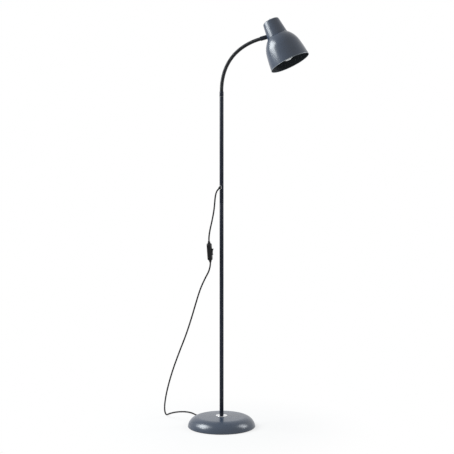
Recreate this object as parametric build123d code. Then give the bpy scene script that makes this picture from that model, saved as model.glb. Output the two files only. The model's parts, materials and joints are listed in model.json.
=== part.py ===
from build123d import *
import os
from math import asin, ceil, cos, degrees, pi, radians, sin, sqrt, tan

# Gooseneck reading floor lamp, in millimetres.
# The origin is the centre of the base's underside, on the pole's axis. +Z is up and the
# neck leans over towards +X, in the XZ plane. The neck is a chain of ribbed sleeves, each
# with a hollow ball that turns in the socket of the sleeve before it.

# ---- driving dimensions ----
BASE_RADIUS = 125.0
BASE_HEIGHT = 39.4
BASE_SHOULDER_RADIUS = 42.0     # arc that turns the flat top down into the side
BASE_CROWN_DROP = 1.4           # how far the top falls from its centre to the shoulder
BASE_WALL = 1.2
PAD_THICKNESS = 2.0
PAD_RADIUS = 122.0
WEIGHT_RADIUS = 113.0
WEIGHT_THICKNESS = 13.0
WEIGHT_BOSS_RADIUS = 28.0
BOLT_RADIUS = 4.9               # M10
FLANGE_RADIUS = 21.5
FLANGE_THICKNESS = 2.4

POLE_RADIUS = 7.5
POLE_WALL = 1.0
POLE_TOP = 1212.0
POLE_SECTIONS = 3
COUPLER_REACH = 22.0            # how far a coupler goes into each tube
CORD_EXIT_HEIGHT = 878.0
CORD_EXIT_ANGLE = 229.0         # seen from above, from +X
CORD_EXIT_DROP = 40.0           # the grommet's nose points this far below level
FIT = 0.05                      # radial clearance of a fixed fit

FERRULE_LENGTH = 20.0
FERRULE_RADIUS = 7.75
NECK_START = 1235.0             # height at which the neck starts to bend
NECK_BEND_LENGTH = 255.0        # from there to the upper ferrule, along the curve
NECK_TURN = 75.5                # whole bend of the neck at rest, degrees
NECK_EASE = 0.2                 # how much softer the bend is at its two ends
NECK_LINKS = 12
RIBS_PER_LINK = 4
CREST_RADIUS = 6.75
VALLEY_RADIUS = 5.95
BALL_RADIUS = 4.95
SOCKET_RADIUS = 5.2
STEM_RADIUS = 4.1
NECK_BORE = 3.2
SOCKET_LIP = 1.75               # the socket reaches this far past the ball's centre
LINK_GAP = 3.2                  # open groove between two sleeves

UPPER_FERRULE_LENGTH = 24.0
UPPER_FERRULE_RADIUS = 8.0
NIPPLE_RADIUS = 4.95
SHADE_TILT = 24.9               # shade axis from straight down, towards +X
CAP_TAPER = 7.7                 # half angle of the cap's side
CAP_LENGTH = 61.5
CAP_TOP_RADIUS = 30.6
CAP_CORNER = 6.5
CAP_WALL = 0.8
NECK_ENTRY = 46.6               # neck's entry in the cap's side, from the cap's top
SHADE_LENGTH = 170.0
BELL_WALL = 0.9
BELL_START_RADIUS = 39.2
BELL_START_ANGLE = 47.3         # bell's wall from the shade's axis at its top
BELL_SHOULDER = (88.0, 36.0)    # radius of the upper arc and the angle it turns
BELL_SKIRT_RADIUS = 560.0       # radius of the lower arc
RIM_BEAD = 1.0
FINIAL_HEIGHT = 14.0            # bright nut on top of the cap
FINIAL_KNOB_RADIUS = 2.7
SCREW_RADIUS = 1.5
HOLDER_RADIUS = 20.0
HOLDER_END = 75.0
BULB_TIP = 159.0
BULB_RADIUS = 30.0
BULB_CAP_RADIUS = 13.1

CORD_RADIUS = 2.8
SWITCH_LENGTH = 64.0
SWITCH_WIDTH = 27.0
SWITCH_DEPTH = 16.4
SWITCH_WALL = 1.8
ROCKER_TILT = 8.0               # rests pressed at its upper end
COIL_RADIUS = 32.0              # outer turn, to the middle of the cord
COIL_PITCH = 6.2
COIL_CENTRE = (-54.8, 151.2)    # close behind the base, which hides it
COIL_LIFT = 0.9                 # room for the tie below the coil
TIE_WALL = 0.7
TIE_WIDTH = 4.0
TIE_ROOM = 0.6                  # at each side, for the strands' curve
HALF_TURNS_DOWN = 3             # half turns of the lower layer, then one climbs
HALF_TURNS_UP = 2
TAIL_RUNS = (22.0, 22.0, 6.0)   # level, down to the plug's height, and into the plug
TAIL_TURN = 15.0                # the tail turns this far away from the base
PLUG_LENGTH = 34.0
PLUG_THICKNESS = 14.0
PIN_RADIUS = 2.0
PIN_LENGTH = 19.0
PIN_SPACING = 18.6

# Route of the hanging cord, chosen by hand: first from the grommet's mouth to the switch,
# then from the switch down to the floor and round behind the base.
GROMMET_MOUTH = 11.5            # mouth of the grommet's nose from the pole's axis
UPPER_ROUTE = [
    (-13.1, -15.0, 868.9),
    (-17.3, -19.9, 857.7),
    (-20.2, -23.2, 840.2),
    (-21.9, -24.6, 814.0),
    (-25.2, -25.0, 786.0),
    (-32.0, -25.6, 752.0),
    (-39.6, -27.4, 718.0),
]
SWITCH_TOP = (-41.8, -27.9, 676.0)
SWITCH_BOTTOM = (-37.3, -27.2, 610.0)
LOWER_ROUTE = [
    (-42.4, -27.8, 571.0),
    (-56.5, -27.2, 546.0),
    (-74.7, -27.0, 507.0),
    (-91.3, -24.6, 455.0),
    (-109.2, -20.3, 397.0),
    (-130.6, -12.6, 336.0),
    (-156.9, -0.5, 275.0),
    (-184.8, 16.3, 208.0),
    (-208.8, 39.5, 143.0),
    (-227.0, 64.8, 84.0),
    (-238.0, 92.0, 35.0),
    (-239.0, 124.0, 3.2),
    (-233.0, 163.0, 2.8),
    (-208.0, 195.0, 2.8),
    (-172.0, 201.0, 2.8),
    (-143.0, 178.0, 2.8),
    (-124.0, 147.0, 2.9),
]

os.makedirs("parts", exist_ok=True)


# ---- helpers ----
def profile(*points):
    """Closed face through (radius, height) points beside the Z axis."""
    return make_face(Polyline(*[(r, 0, z) for r, z in points], close=True))


def turned(*points):
    """Solid of revolution about Z of a straight-sided profile."""
    return revolve(profile(*points), Axis.Z)


def tube(radius, bore, low, high):
    """Plain round tube about Z."""
    return turned((bore, low), (radius, low), (radius, high), (bore, high))


def rod(radius, low, high):
    """Plain round bar about Z."""
    return turned((0, low), (radius, low), (radius, high), (0, high))


def hexagon(across_flats, low, high):
    """Hexagonal bar about Z."""
    outline = RegularPolygon(across_flats / 2, 6, major_radius=False)
    return Pos(0, 0, low) * extrude(outline, high - low)


def save(part, name):
    """Write one node to its own file."""
    export_step(part, os.path.join("parts", name + ".step"))


def arc_end(start, heading, radius, turn):
    """Middle and end of an arc in the (radius, height) plane, and its last heading."""
    def at(part):
        middle = radians(heading - turn * part / 2)
        chord = 2 * radius * sin(radians(turn * part / 2))
        return (start[0] + chord * sin(middle), start[1] + chord * cos(middle))
    return at(0.5), at(1), heading - turn


# ---- base ----
def dome(wall=0.0):
    """Solid under the base's outline, drawn in by a wall's thickness."""
    shoulder = BASE_SHOULDER_RADIUS - wall
    flat = BASE_RADIUS - BASE_SHOULDER_RADIUS
    top = BASE_HEIGHT - wall
    crown_edge = top - BASE_CROWN_DROP
    centre = crown_edge - shoulder
    foot = sqrt(shoulder ** 2 - (PAD_THICKNESS - centre) ** 2)
    half = radians(45)
    crown = ThreePointArc(
        (0, 0, top),
        (flat / 2, 0, top - BASE_CROWN_DROP / 4),
        (flat, 0, crown_edge),
    )
    side = ThreePointArc(
        (flat, 0, crown_edge),
        (flat + shoulder * sin(half), 0, centre + shoulder * cos(half)),
        (flat + foot, 0, PAD_THICKNESS),
    )
    close = Polyline((flat + foot, 0, PAD_THICKNESS), (0, 0, PAD_THICKNESS), (0, 0, top))
    return revolve(make_face([crown, side, *close.edges()]), Axis.Z)


def base():
    """Cover, weight, pad and the bolt that clamps them to the pole."""
    recess_radius = 17.0
    recess_top = PAD_THICKNESS + 10.0
    under_cover = BASE_HEIGHT - BASE_WALL
    hole = rod(BOLT_RADIUS + FIT, 0, BASE_HEIGHT + 1)
    cover = dome() - dome(BASE_WALL)
    lip = tube(BASE_RADIUS, PAD_RADIUS - 3, PAD_THICKNESS, PAD_THICKNESS + BASE_WALL)
    cover = cover + (lip & dome()) - hole
    weight = turned(
        (0, PAD_THICKNESS),
        (WEIGHT_RADIUS, PAD_THICKNESS),
        (WEIGHT_RADIUS, PAD_THICKNESS + WEIGHT_THICKNESS - 3),
        (WEIGHT_RADIUS - 3, PAD_THICKNESS + WEIGHT_THICKNESS),
        (WEIGHT_BOSS_RADIUS + 6, PAD_THICKNESS + WEIGHT_THICKNESS),
        (WEIGHT_BOSS_RADIUS, under_cover - 2),
        (WEIGHT_BOSS_RADIUS - 2, under_cover - 0.2),
        (0, under_cover - 0.2),
    )
    weight = weight - hole - rod(recess_radius, 0, recess_top)
    flange_top = BASE_HEIGHT + FLANGE_THICKNESS
    flange = turned(
        (BOLT_RADIUS + FIT, BASE_HEIGHT),
        (FLANGE_RADIUS, BASE_HEIGHT),
        (FLANGE_RADIUS, BASE_HEIGHT + 0.9),
        (FLANGE_RADIUS - 1.2, BASE_HEIGHT + 1.6),
        (POLE_RADIUS + 3, flange_top),
        (BOLT_RADIUS + FIT, flange_top),
    )
    plate_low = recess_top - 2.0
    spring_low = plate_low - 2.2
    head_low = PAD_THICKNESS + 0.2
    bolt = hexagon(16, head_low, spring_low) + rod(BOLT_RADIUS, spring_low, flange_top + 18)
    spring = tube(9.2, BOLT_RADIUS + 0.3, spring_low, plate_low)
    spring = spring - Pos(7.4, 0, spring_low + 1.1) * Rot(30, 0, 0) * Box(7, 0.8, 6)
    insert = turned(
        (BOLT_RADIUS + FIT, flange_top + FIT),
        (POLE_RADIUS - POLE_WALL - FIT, flange_top + FIT),
        (POLE_RADIUS - POLE_WALL - FIT, flange_top + COUPLER_REACH),
        (BOLT_RADIUS + FIT, flange_top + COUPLER_REACH),
    )
    save(rod(PAD_RADIUS, 0, PAD_THICKNESS), "base_pad")
    save(cover, "base_cover")
    save(weight, "base_weight")
    save(bolt, "base_bolt")
    save(tube(15.5, BOLT_RADIUS + 0.3, plate_low, recess_top), "plate_washer")
    save(spring, "spring_washer")
    save(flange, "flange_washer")
    save(insert, "foot_insert")
    return flange_top


# ---- pole ----
def exit_direction():
    """Direction in which the cord leaves the grommet."""
    level = cos(radians(CORD_EXIT_DROP))
    angle = radians(CORD_EXIT_ANGLE)
    return Vector(level * cos(angle), level * sin(angle), -sin(radians(CORD_EXIT_DROP)))


def exit_plane(distance):
    """Plane across the cord's exit, its origin at this distance from the pole's axis."""
    out = exit_direction()
    on_axis = Vector(0, 0, CORD_EXIT_HEIGHT + POLE_RADIUS * tan(radians(CORD_EXIT_DROP)))
    along = distance / cos(radians(CORD_EXIT_DROP))
    return Plane(origin=on_axis + out * along, z_dir=out)


def grommet():
    """Stepped rubber bush through the pole's wall, with a tapered nose."""
    inner = POLE_RADIUS - POLE_WALL - 1.5
    reach = (GROMMET_MOUTH - inner) / cos(radians(CORD_EXIT_DROP))
    bore = CORD_RADIUS + FIT
    nose = turned((bore, 1), (5.4, 1), (5.4, 5.6), (4.2, reach), (bore, reach))
    outside = exit_plane(inner) * nose - rod(POLE_RADIUS + FIT, 0, POLE_TOP)
    return outside + exit_plane(inner) * tube(4.2, bore, 0, 6)


def pole(foot):
    """Three equal tubes, the couplers between them, grommet, inner lead and head insert."""
    bore = POLE_RADIUS - POLE_WALL
    length = (POLE_TOP - foot) / POLE_SECTIONS
    drill = exit_plane(0) * rod(4.25, 3, 30)
    for index, name in enumerate(["lower", "middle", "upper"]):
        low = foot + index * length
        section = tube(POLE_RADIUS, bore, low, low + length)
        if name == "upper":
            section = section - drill
        save(section, "pole_" + name)
    for index, name in enumerate(["lower", "upper"]):
        joint = foot + (index + 1) * length
        coupler = tube(bore - FIT, 4.0, joint - COUPLER_REACH, joint + COUPLER_REACH)
        save(coupler, "pole_coupler_" + name)
    save(grommet(), "cord_grommet")
    start = exit_plane(POLE_RADIUS - POLE_WALL - 1.7).origin
    on_axis = exit_plane(0).origin
    path = FilletPolyline(start, on_axis + Vector(0, 0, 0.5), (0, 0, POLE_TOP - 24), radius=5.0)
    lead = sweep(Plane(path @ 0, z_dir=path % 0) * Circle(CORD_RADIUS - 0.3), path)
    save(lead, "lead_in_pole")
    ring = 1.0
    insert = turned(
        (NECK_BORE, POLE_TOP - 20),
        (bore - FIT, POLE_TOP - 20),
        (bore - FIT, POLE_TOP),
        (POLE_RADIUS + 0.15, POLE_TOP),
        (POLE_RADIUS + 0.15, POLE_TOP + ring),
        (NIPPLE_RADIUS - 1, POLE_TOP + ring),
        (NIPPLE_RADIUS - 1, POLE_TOP + 10),
        (NECK_BORE, POLE_TOP + 10),
    )
    save(insert, "head_insert")
    return POLE_TOP + ring


# ---- gooseneck ----
def neck_angle(along):
    """Angle of the neck's centre line from upright, this far along its bend."""
    part = min(max(along / NECK_BEND_LENGTH, 0), 1)
    return NECK_TURN * (part - NECK_EASE * sin(2 * pi * part) / (2 * pi))


def neck_point(along):
    """Point of the centre line, this far along its bend."""
    if along <= 0:
        return Vector(0, 0, NECK_START + along)
    steps = ceil(along)
    x, z = 0.0, NECK_START
    for step in range(steps):
        angle = radians(neck_angle((step + 0.5) * along / steps))
        x += sin(angle) * along / steps
        z += cos(angle) * along / steps
    return Vector(x, 0, z)


def neck_hinges():
    """Ball centres from the lower ferrule to the upper one, evenly along the neck's curve.

    The even ones bend in the neck's own plane and the odd ones turn sideways.
    """
    first = POLE_TOP + FERRULE_LENGTH - SOCKET_LIP - NECK_START
    last = NECK_BEND_LENGTH - LINK_GAP - SOCKET_LIP
    step = (last - first) / NECK_LINKS
    return [neck_point(first + step * index) for index in range(NECK_LINKS + 1)]


def link_plane(low, high):
    """Plane at a link's ball, with Z along the link and Y as the row's own."""
    along = (high - low).normalized()
    return Plane(origin=low, x_dir=Vector(0, 1, 0).cross(along), z_dir=along)


def ball():
    """Hollow ball on its stem, centred on the origin."""
    stem_top = SOCKET_LIP + LINK_GAP
    head = Sphere(BALL_RADIUS) & Pos(0, 0, 1) * Box(20, 20, 8)
    stem = rod(STEM_RADIUS, 0, stem_top + 0.5)
    return head + stem - rod(NECK_BORE, -6, stem_top + 1)


def ribbed_profile(length):
    """Outline of one sleeve: crests with a groove between each two."""
    pitch = length / RIBS_PER_LINK
    start = SOCKET_LIP + LINK_GAP / 2
    half_crest, half_valley = 0.6, 0.8
    slope = (CREST_RADIUS - VALLEY_RADIUS) / (pitch / 2 - half_crest - half_valley)
    face = VALLEY_RADIUS + slope * (LINK_GAP / 2 - half_valley)
    points = [(face, start + LINK_GAP / 2)]
    for rib in range(RIBS_PER_LINK):
        low = start + rib * pitch
        if rib:
            points.append((VALLEY_RADIUS, low))
        points.append((CREST_RADIUS, low + pitch / 2 - half_crest))
        points.append((CREST_RADIUS, low + pitch / 2 + half_crest))
    points.append((face, start + length - LINK_GAP / 2))
    return points


def neck_link(length):
    """One sleeve along Z, with its ball at the origin and its socket at the other end."""
    outline = ribbed_profile(length)
    low, high = outline[0][1], outline[-1][1]
    body = turned((NECK_BORE, low), *outline, (NECK_BORE, high))
    return body + ball() - Pos(0, 0, length) * Sphere(SOCKET_RADIUS)


def neck(collar_low):
    """Lower ferrule and the chain of links. Gives the last hinge and the neck's end."""
    hinges = neck_hinges()
    top = POLE_TOP + FERRULE_LENGTH
    ferrule = turned(
        (NIPPLE_RADIUS - 1 + FIT, collar_low),
        (FERRULE_RADIUS - 0.5, collar_low),
        (FERRULE_RADIUS, collar_low + 0.5),
        (FERRULE_RADIUS, top - 1.0),
        (FERRULE_RADIUS - 1.0, top),
        (NIPPLE_RADIUS - 1 + FIT, top),
    )
    save(ferrule - Pos(hinges[0]) * Sphere(SOCKET_RADIUS), "lower_ferrule")
    for index, (low, high) in enumerate(zip(hinges, hinges[1:])):
        link = link_plane(low, high) * neck_link((high - low).length)
        save(link, f"neck_link_{index + 1:02d}")
    for index, hinge in enumerate(hinges):
        print("hinge", index, round(hinge.X, 2), round(hinge.Z, 2))
    return hinges[-1]


# ---- head ----
def neck_end_plane(hinge):
    """Plane at the last hinge, with Z along the upper ferrule."""
    angle = radians(NECK_TURN)
    along = Vector(sin(angle), 0, cos(angle))
    return Plane(origin=hinge, x_dir=Vector(0, 1, 0).cross(along), z_dir=along)


def cap_side(depth):
    """Radius of the cap's outside at this depth below its top."""
    return CAP_TOP_RADIUS + depth * tan(radians(CAP_TAPER))


def head_plane(end):
    """Shade's plane: its origin at the cap's top, and Z along the axis to the mouth.

    The cap's side is square to the neck where the neck's end meets it.
    """
    tilt = radians(SHADE_TILT)
    axis = Vector(sin(tilt), 0, -cos(tilt))
    back = Vector(-cos(tilt), 0, -sin(tilt))
    top = end - axis * NECK_ENTRY - back * cap_side(NECK_ENTRY)
    return Plane(origin=top, x_dir=-back, z_dir=axis)


def cap_solid(wall):
    """Solid under the cap's outline, drawn in by a wall's thickness."""
    shift = wall / cos(radians(CAP_TAPER))
    points = [(0, wall), (cap_side(wall) - shift, wall)]
    points += [(cap_side(CAP_LENGTH) - shift, CAP_LENGTH), (0, CAP_LENGTH)]
    solid = turned(*points)
    corner = solid.edges().filter_by(GeomType.CIRCLE).sort_by(Axis.Z)[0]
    return fillet(corner, CAP_CORNER - wall)


def bell():
    """Spun bell: an inward collar, a round shoulder and a long skirt with a beaded rim."""
    def solid(inset, length):
        start = (BELL_START_RADIUS - inset * 0.4, CAP_LENGTH + inset)
        mid, knee, heading = arc_end(
            start, BELL_START_ANGLE, BELL_SHOULDER[0] - inset, BELL_SHOULDER[1])
        lean = sin(radians(heading)) - (length - knee[1]) / BELL_SKIRT_RADIUS
        turn = heading - degrees(asin(lean))
        middle, rim, _ = arc_end(knee, heading, BELL_SKIRT_RADIUS, turn)
        edges = [
            ThreePointArc(*[(r, 0, z) for r, z in (start, mid, knee)]),
            ThreePointArc(*[(r, 0, z) for r, z in (knee, middle, rim)]),
            *Polyline(
                (rim[0], 0, rim[1]),
                (0, 0, rim[1]),
                (0, 0, start[1]),
                (start[0], 0, start[1]),
            ).edges(),
        ]
        return revolve(make_face(edges), Axis.Z), rim[0]

    outer, rim = solid(0, SHADE_LENGTH)
    inner, _ = solid(BELL_WALL, SHADE_LENGTH + 1)
    bead_at = Vector(rim - BELL_WALL / 2, 0, SHADE_LENGTH - 0.2)
    bead = revolve(Plane(origin=bead_at, z_dir=(0, 1, 0)) * Circle(RIM_BEAD), Axis.Z)
    print("rim radius", round(rim, 2))
    return outer - inner - rod(HOLDER_RADIUS + 0.3, 0, SHADE_LENGTH) + bead


def nipple_fixings(cap_inside):
    """Saddle washer and nut that clamp the neck's nipple inside the cap."""
    washer = tube(9.0, NIPPLE_RADIUS + FIT, CAP_WALL - 0.5, CAP_WALL + 2.6)
    washer = washer & cap_inside
    nut = hexagon(14, CAP_WALL + 2.6, CAP_WALL + 7.1)
    return washer, nut - rod(NIPPLE_RADIUS + FIT, 0, 20)


def head(last_hinge):
    """Upper ferrule, shade, lampholder and bulb."""
    neck_end = neck_end_plane(last_hinge)
    ball_to_cap = SOCKET_LIP + LINK_GAP + UPPER_FERRULE_LENGTH
    end = last_hinge + neck_end.z_dir * ball_to_cap
    shade = head_plane(end)
    entry = Plane(origin=end, x_dir=neck_end.x_dir, z_dir=neck_end.z_dir)
    low = SOCKET_LIP + LINK_GAP
    ferrule = turned(
        (NECK_BORE, low),
        (UPPER_FERRULE_RADIUS - 1, low),
        (UPPER_FERRULE_RADIUS, low + 1),
        (UPPER_FERRULE_RADIUS, ball_to_cap + 1.5),
        (NECK_BORE, ball_to_cap + 1.5),
    )
    cap_outside = shade * cap_solid(0)
    cap_inside = shade * cap_solid(CAP_WALL)
    nipple = tube(NIPPLE_RADIUS, NECK_BORE, ball_to_cap - 1, ball_to_cap + CAP_WALL + 8.2)
    ferrule = neck_end * (ferrule + ball()) - cap_outside + neck_end * nipple
    cap = cap_outside - cap_inside - entry * rod(NIPPLE_RADIUS + FIT, -6, 8)
    screw_hole = rod(SCREW_RADIUS + 0.15, -2, 6)
    washer, nut = nipple_fixings(entry.location.inverse() * cap_inside)
    save(ferrule, "upper_ferrule")
    save(cap - shade * screw_hole, "shade_cap")
    save(entry * washer, "neck_washer")
    save(entry * nut, "neck_nut")
    save(shade * bell(), "shade_bell")
    head_fixings(shade)
    lampholder(shade)
    bulb(shade)
    print("cap top", shade.origin, "mouth", shade.origin + shade.z_dir * SHADE_LENGTH)


def head_fixings(shade):
    """Finial nut, centre screw and spacer that hang the lampholder from the cap."""
    knob = FINIAL_HEIGHT - FINIAL_KNOB_RADIUS
    seat = turned((0, -3.0), (3.4, -3.0), (4.4, -2.0), (4.4, 0), (0, 0))
    finial = seat + rod(1.9, -knob, -3.0) + Pos(0, 0, -knob) * Sphere(FINIAL_KNOB_RADIUS)
    save(shade * (finial - rod(SCREW_RADIUS + FIT, -4, 1)), "cap_finial")
    save(shade * rod(SCREW_RADIUS, -3.8, 21.0), "cap_screw")
    save(shade * tube(6.0, SCREW_RADIUS + 0.25, CAP_WALL, 15.9), "holder_spacer")


def lampholder(shade):
    """Two-part lampholder with its screw shell, contact carrier and shade ring."""
    clamp = CAP_LENGTH
    under = CAP_LENGTH + BELL_WALL
    hole = SCREW_RADIUS + 0.1
    top = turned(
        (hole, 16.0),
        (11.0, 16.0),
        (17.5, 21.0),
        (HOLDER_RADIUS, 30.0),
        (HOLDER_RADIUS, 42.0),
        (HOLDER_RADIUS - 2, 42.0),
        (HOLDER_RADIUS - 2, 31.0),
        (15.8, 23.0),
        (10.0, 19.0),
        (hole, 19.0),
    )
    wires = Pos(-15, 0, 22) * Box(9, 7, 14)
    skirt = turned(
        (14.6, 42.1),
        (HOLDER_RADIUS, 42.1),
        (HOLDER_RADIUS, clamp - 3.2),
        (HOLDER_RADIUS + 3.5, clamp - 3.2),
        (HOLDER_RADIUS + 3.5, clamp - FIT),
        (HOLDER_RADIUS, clamp - FIT),
        (HOLDER_RADIUS, HOLDER_END - 0.8),
        (HOLDER_RADIUS - 0.8, HOLDER_END),
        (14.6, HOLDER_END),
    )
    core = turned(
        (0, 44.0), (14.5, 44.0), (14.5, 51.0), (4.0, 51.0), (4.0, 52.4), (0, 52.4))
    sleeve = tube(14.4, 13.8, 51.1, 70.0)
    ring = tube(HOLDER_RADIUS + 5.5, HOLDER_RADIUS + 0.2, under + FIT, under + 6)
    notch = rod(2.2, under - 1, under + 8)
    for index in range(8):
        ring = ring - Rot(0, 0, 45 * index) * Pos(HOLDER_RADIUS + 6.6, 0, 0) * notch
    save(shade * (top - wires), "holder_top")
    save(shade * skirt, "holder_skirt")
    save(shade * core, "holder_core")
    save(shade * sleeve, "holder_sleeve")
    save(shade * ring, "shade_ring")
    inner_end = CAP_WALL + 8.5
    taper = radians(CAP_TAPER)
    start_x = -cap_side(NECK_ENTRY) + inner_end * cos(taper)
    start_z = NECK_ENTRY + inner_end * sin(taper)
    cores = []
    for side in (-1.5, 1.5):
        path = FilletPolyline(
            (start_x, side, start_z),
            (start_x + 4, side, start_z + 4 * sin(taper)),
            (start_x + 2, side, 34.0),
            (-17.5, side, 19.0),
            (-12.5, side, 23.5),
            radius=2.4,
        )
        cores.append(sweep(Plane(path @ 0, z_dir=path % 0) * Circle(1.1), path))
    save(shade * Compound(children=cores), "lead_in_cap")


def bulb(shade):
    """Thin glass envelope on its screw cap."""
    centre = BULB_TIP - BULB_RADIUS

    def envelope(inset):
        radius = BULB_RADIUS - inset
        neck_radius = 12.6 - inset
        low = 80.5
        waist = (19.0 - inset, 102.5)
        tangent = radians(30)
        side = (radius * cos(tangent), centre - radius * sin(tangent))
        edges = [
            *Polyline((0, 0, low), (neck_radius, 0, low)).edges(),
            Spline(
                (neck_radius, 0, low),
                (waist[0], 0, waist[1]),
                (side[0], 0, side[1]),
                tangents=[(0, 0, 1), (sin(tangent), 0, cos(tangent))],
            ),
            ThreePointArc(
                (side[0], 0, side[1]),
                (radius * cos(radians(30)), 0, centre + radius * sin(radians(30))),
                (0, 0, centre + radius),
            ),
            Line((0, 0, centre + radius), (0, 0, low)),
        ]
        return revolve(make_face(edges), Axis.Z)

    threads = []
    for index in range(4):
        low = 58.0 + 4.4 * index
        threads += [(BULB_CAP_RADIUS, low), (BULB_CAP_RADIUS, low + 1.6)]
        threads += [(BULB_CAP_RADIUS - 1.0, low + 3.0)]
    screw = turned(
        (0, 53.4), (4.4, 53.4), (6.0, 55.6), (11.0, 57.0), *threads,
        (BULB_CAP_RADIUS, 76.0), (BULB_CAP_RADIUS, 80.4), (0, 80.4),
    )
    save(shade * (envelope(0) - envelope(0.9)), "bulb_glass")
    save(shade * screw, "bulb_cap")


# ---- cord, switch and plug ----
def corner_radii(points, name):
    """Arc of each corner: 0.45 of the shorter run over the tangent of half the turn."""
    radii = []
    for before, here, after in zip(points, points[1:], points[2:]):
        turn = (here - before).get_angle(after - here)
        run = min((here - before).length, (after - here).length)
        radii.append(0.45 * run / tan(radians(turn) / 2))
    print(name, "radii", [round(radius) for radius in radii])
    return radii


def cord_tube(points, name):
    """Tube along straight runs with tangent arcs."""
    path = FilletPolyline(*points, radius=corner_radii(points, name))
    print(name, "length", round(path.length, 1))
    solid = sweep(Plane(path @ 0, z_dir=path % 0) * Circle(CORD_RADIUS), path)
    print(name, "volume over section times length",
          round(solid.volume / (pi * CORD_RADIUS ** 2 * path.length), 4))
    save(solid, name)
    return path.length


def switch_plane():
    """Plane at the switch's middle: Z up along it, X towards the rocker."""
    top, bottom = Vector(*SWITCH_TOP), Vector(*SWITCH_BOTTOM)
    up = (top - bottom).normalized()
    return Plane(origin=(top + bottom) / 2, x_dir=Vector(0, 1, 0).cross(up), z_dir=up)


def shell_half(side):
    """One half of the switch's case, on the rocker's side (1) or the other (-1)."""
    def block(inset):
        outline = RectangleRounded(SWITCH_DEPTH - 2 * inset, SWITCH_LENGTH - 2 * inset, 5)
        body = Plane.XZ * extrude(outline, (SWITCH_WIDTH - 2 * inset) / 2, both=True)
        rounding = (Plane.YZ * RectangleRounded(
            SWITCH_WIDTH - 2 * inset, SWITCH_LENGTH - 2 * inset, 11 - inset))
        return body & extrude(rounding, SWITCH_DEPTH, both=True)
    half = Pos(side * 20, 0, 0) * Box(40 - 0.04, 60, 90)
    ends = rod(5.4, -SWITCH_LENGTH / 2 - 1, SWITCH_LENGTH / 2 + 1)
    shell = (block(0) + ends) - (block(SWITCH_WALL))
    return (shell - rod(CORD_RADIUS + FIT, -40, 40)) & half


def switch():
    """Two-part inline switch with its rocker, pin and screws."""
    plane = switch_plane()
    face = SWITCH_DEPTH / 2
    window = Pos(face, 0, 0) * Box(8, 12.6, 24.6)
    front = shell_half(1) - window
    pin_x = face - 3.2
    bearings = Pos(pin_x, 8.0, 0) * Box(4.6, 2.6, 5) + Pos(pin_x, -8.0, 0) * Box(4.6, 2.6, 5)
    pin = Pos(pin_x, 0, 0) * Rot(90, 0, 0) * Cylinder(1.2, 18.2)
    bore = Pos(pin_x, 0, 0) * Rot(90, 0, 0) * Cylinder(1.25, 18.4)
    front = front + bearings - bore
    arch = Pos(pin_x, 0, 0) * Rot(90, 0, 0) * Cylinder(12.0, 11.8)
    rocker = arch & Pos(pin_x + 4.2, 0, 0) * Box(5.4, 11.8, 23.0)
    dish = Pos(pin_x + 36.4, 0, 0) * Rot(90, 0, 0) * Cylinder(30.0, 14)
    hub = Pos(pin_x, 0, 0) * Rot(90, 0, 0) * Cylinder(2.6, 11.8)
    rocker = rocker - dish + hub
    rocker = rocker - Pos(pin_x, 0, 0) * Rot(90, 0, 0) * Cylinder(1.25, 14)
    rocker = Pos(pin_x, 0, 0) * Rot(0, ROCKER_TILT, 0) * Pos(-pin_x, 0, 0) * rocker
    screws = []
    rear = shell_half(-1)
    for height in (-22.0, 22.0):
        boss = Pos(-face, 0, height) * Rot(0, 90, 0)
        post = Pos(-face / 2, 7.4, height) * Rot(0, 90, 0) * Cylinder(2.8, face - 1.2)
        screw = boss * Pos(0, 7.4, 0) * (rod(2.4, 0.1, 1.6) + rod(1.2, 1.5, face - 0.6))
        room = boss * Pos(0, 7.4, 0) * (rod(2.5, -1, 1.65) + rod(1.25, 1.0, face + 1))
        rear = rear + (post & Pos(-20, 0, 0) * Box(39.9, 60, 90)) - room
        screws.append(screw)
    save(plane * front, "switch_front")
    save(plane * rear, "switch_rear")
    save(plane * rocker, "switch_rocker")
    save(plane * pin, "switch_pin")
    save(plane * Compound(children=screws), "switch_screws")
    print("rocker pin", (plane * Pos(pin_x, 0, 0)).position, "axis", plane.y_dir)


def half_circle(start, heading, radius, rise=0.0):
    """Half turn to the left of a level heading, climbing by rise."""
    left = Vector(-heading.Y, heading.X, 0)
    end = start + left * 2 * radius + Vector(0, 0, rise)
    middle = (start + end) / 2
    reach = (end - start).length / 2
    return ThreePointArc(start, middle + heading * reach, end), end, -heading


def coil(start, heading):
    """Coil of two layers: the lower winds in, a half turn climbs, the upper winds out."""
    first = start + heading * 2 * CORD_RADIUS
    edges = [Line(start, first)]
    here, radius = first, COIL_RADIUS
    for index in range(HALF_TURNS_DOWN):
        arc, here, heading = half_circle(here, heading, radius)
        edges.append(arc)
        radius -= COIL_PITCH / 2
    arc, here, heading = half_circle(here, heading, radius, COIL_PITCH)
    edges.append(arc)
    for index in range(HALF_TURNS_UP):
        radius += COIL_PITCH / 2
        arc, here, heading = half_circle(here, heading, radius)
        edges.append(arc)
    aside = heading.rotate(Axis.Z, TAIL_TURN)
    level, slope, into_plug = TAIL_RUNS
    over = here + heading * level
    down = over + aside * slope + Vector(0, 0, PLUG_THICKNESS / 2 - here.Z)
    last = down + aside * into_plug
    tail = FilletPolyline(here, over, down, last, radius=[50.0, 40.0])
    return Wire([*edges, *tail.edges()]), last, aside


def least_gap(wire):
    """Smallest gap of the coil's tube to itself, measured on points."""
    count = int(wire.length / 2)
    points = [wire @ (index / count) for index in range(count + 1)]
    apart = int(8 * CORD_RADIUS / 2)
    least = 1e9
    for index, point in enumerate(points):
        for other in points[index + apart:]:
            least = min(least, (point - other).length)
    return least - 2 * CORD_RADIUS


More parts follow.
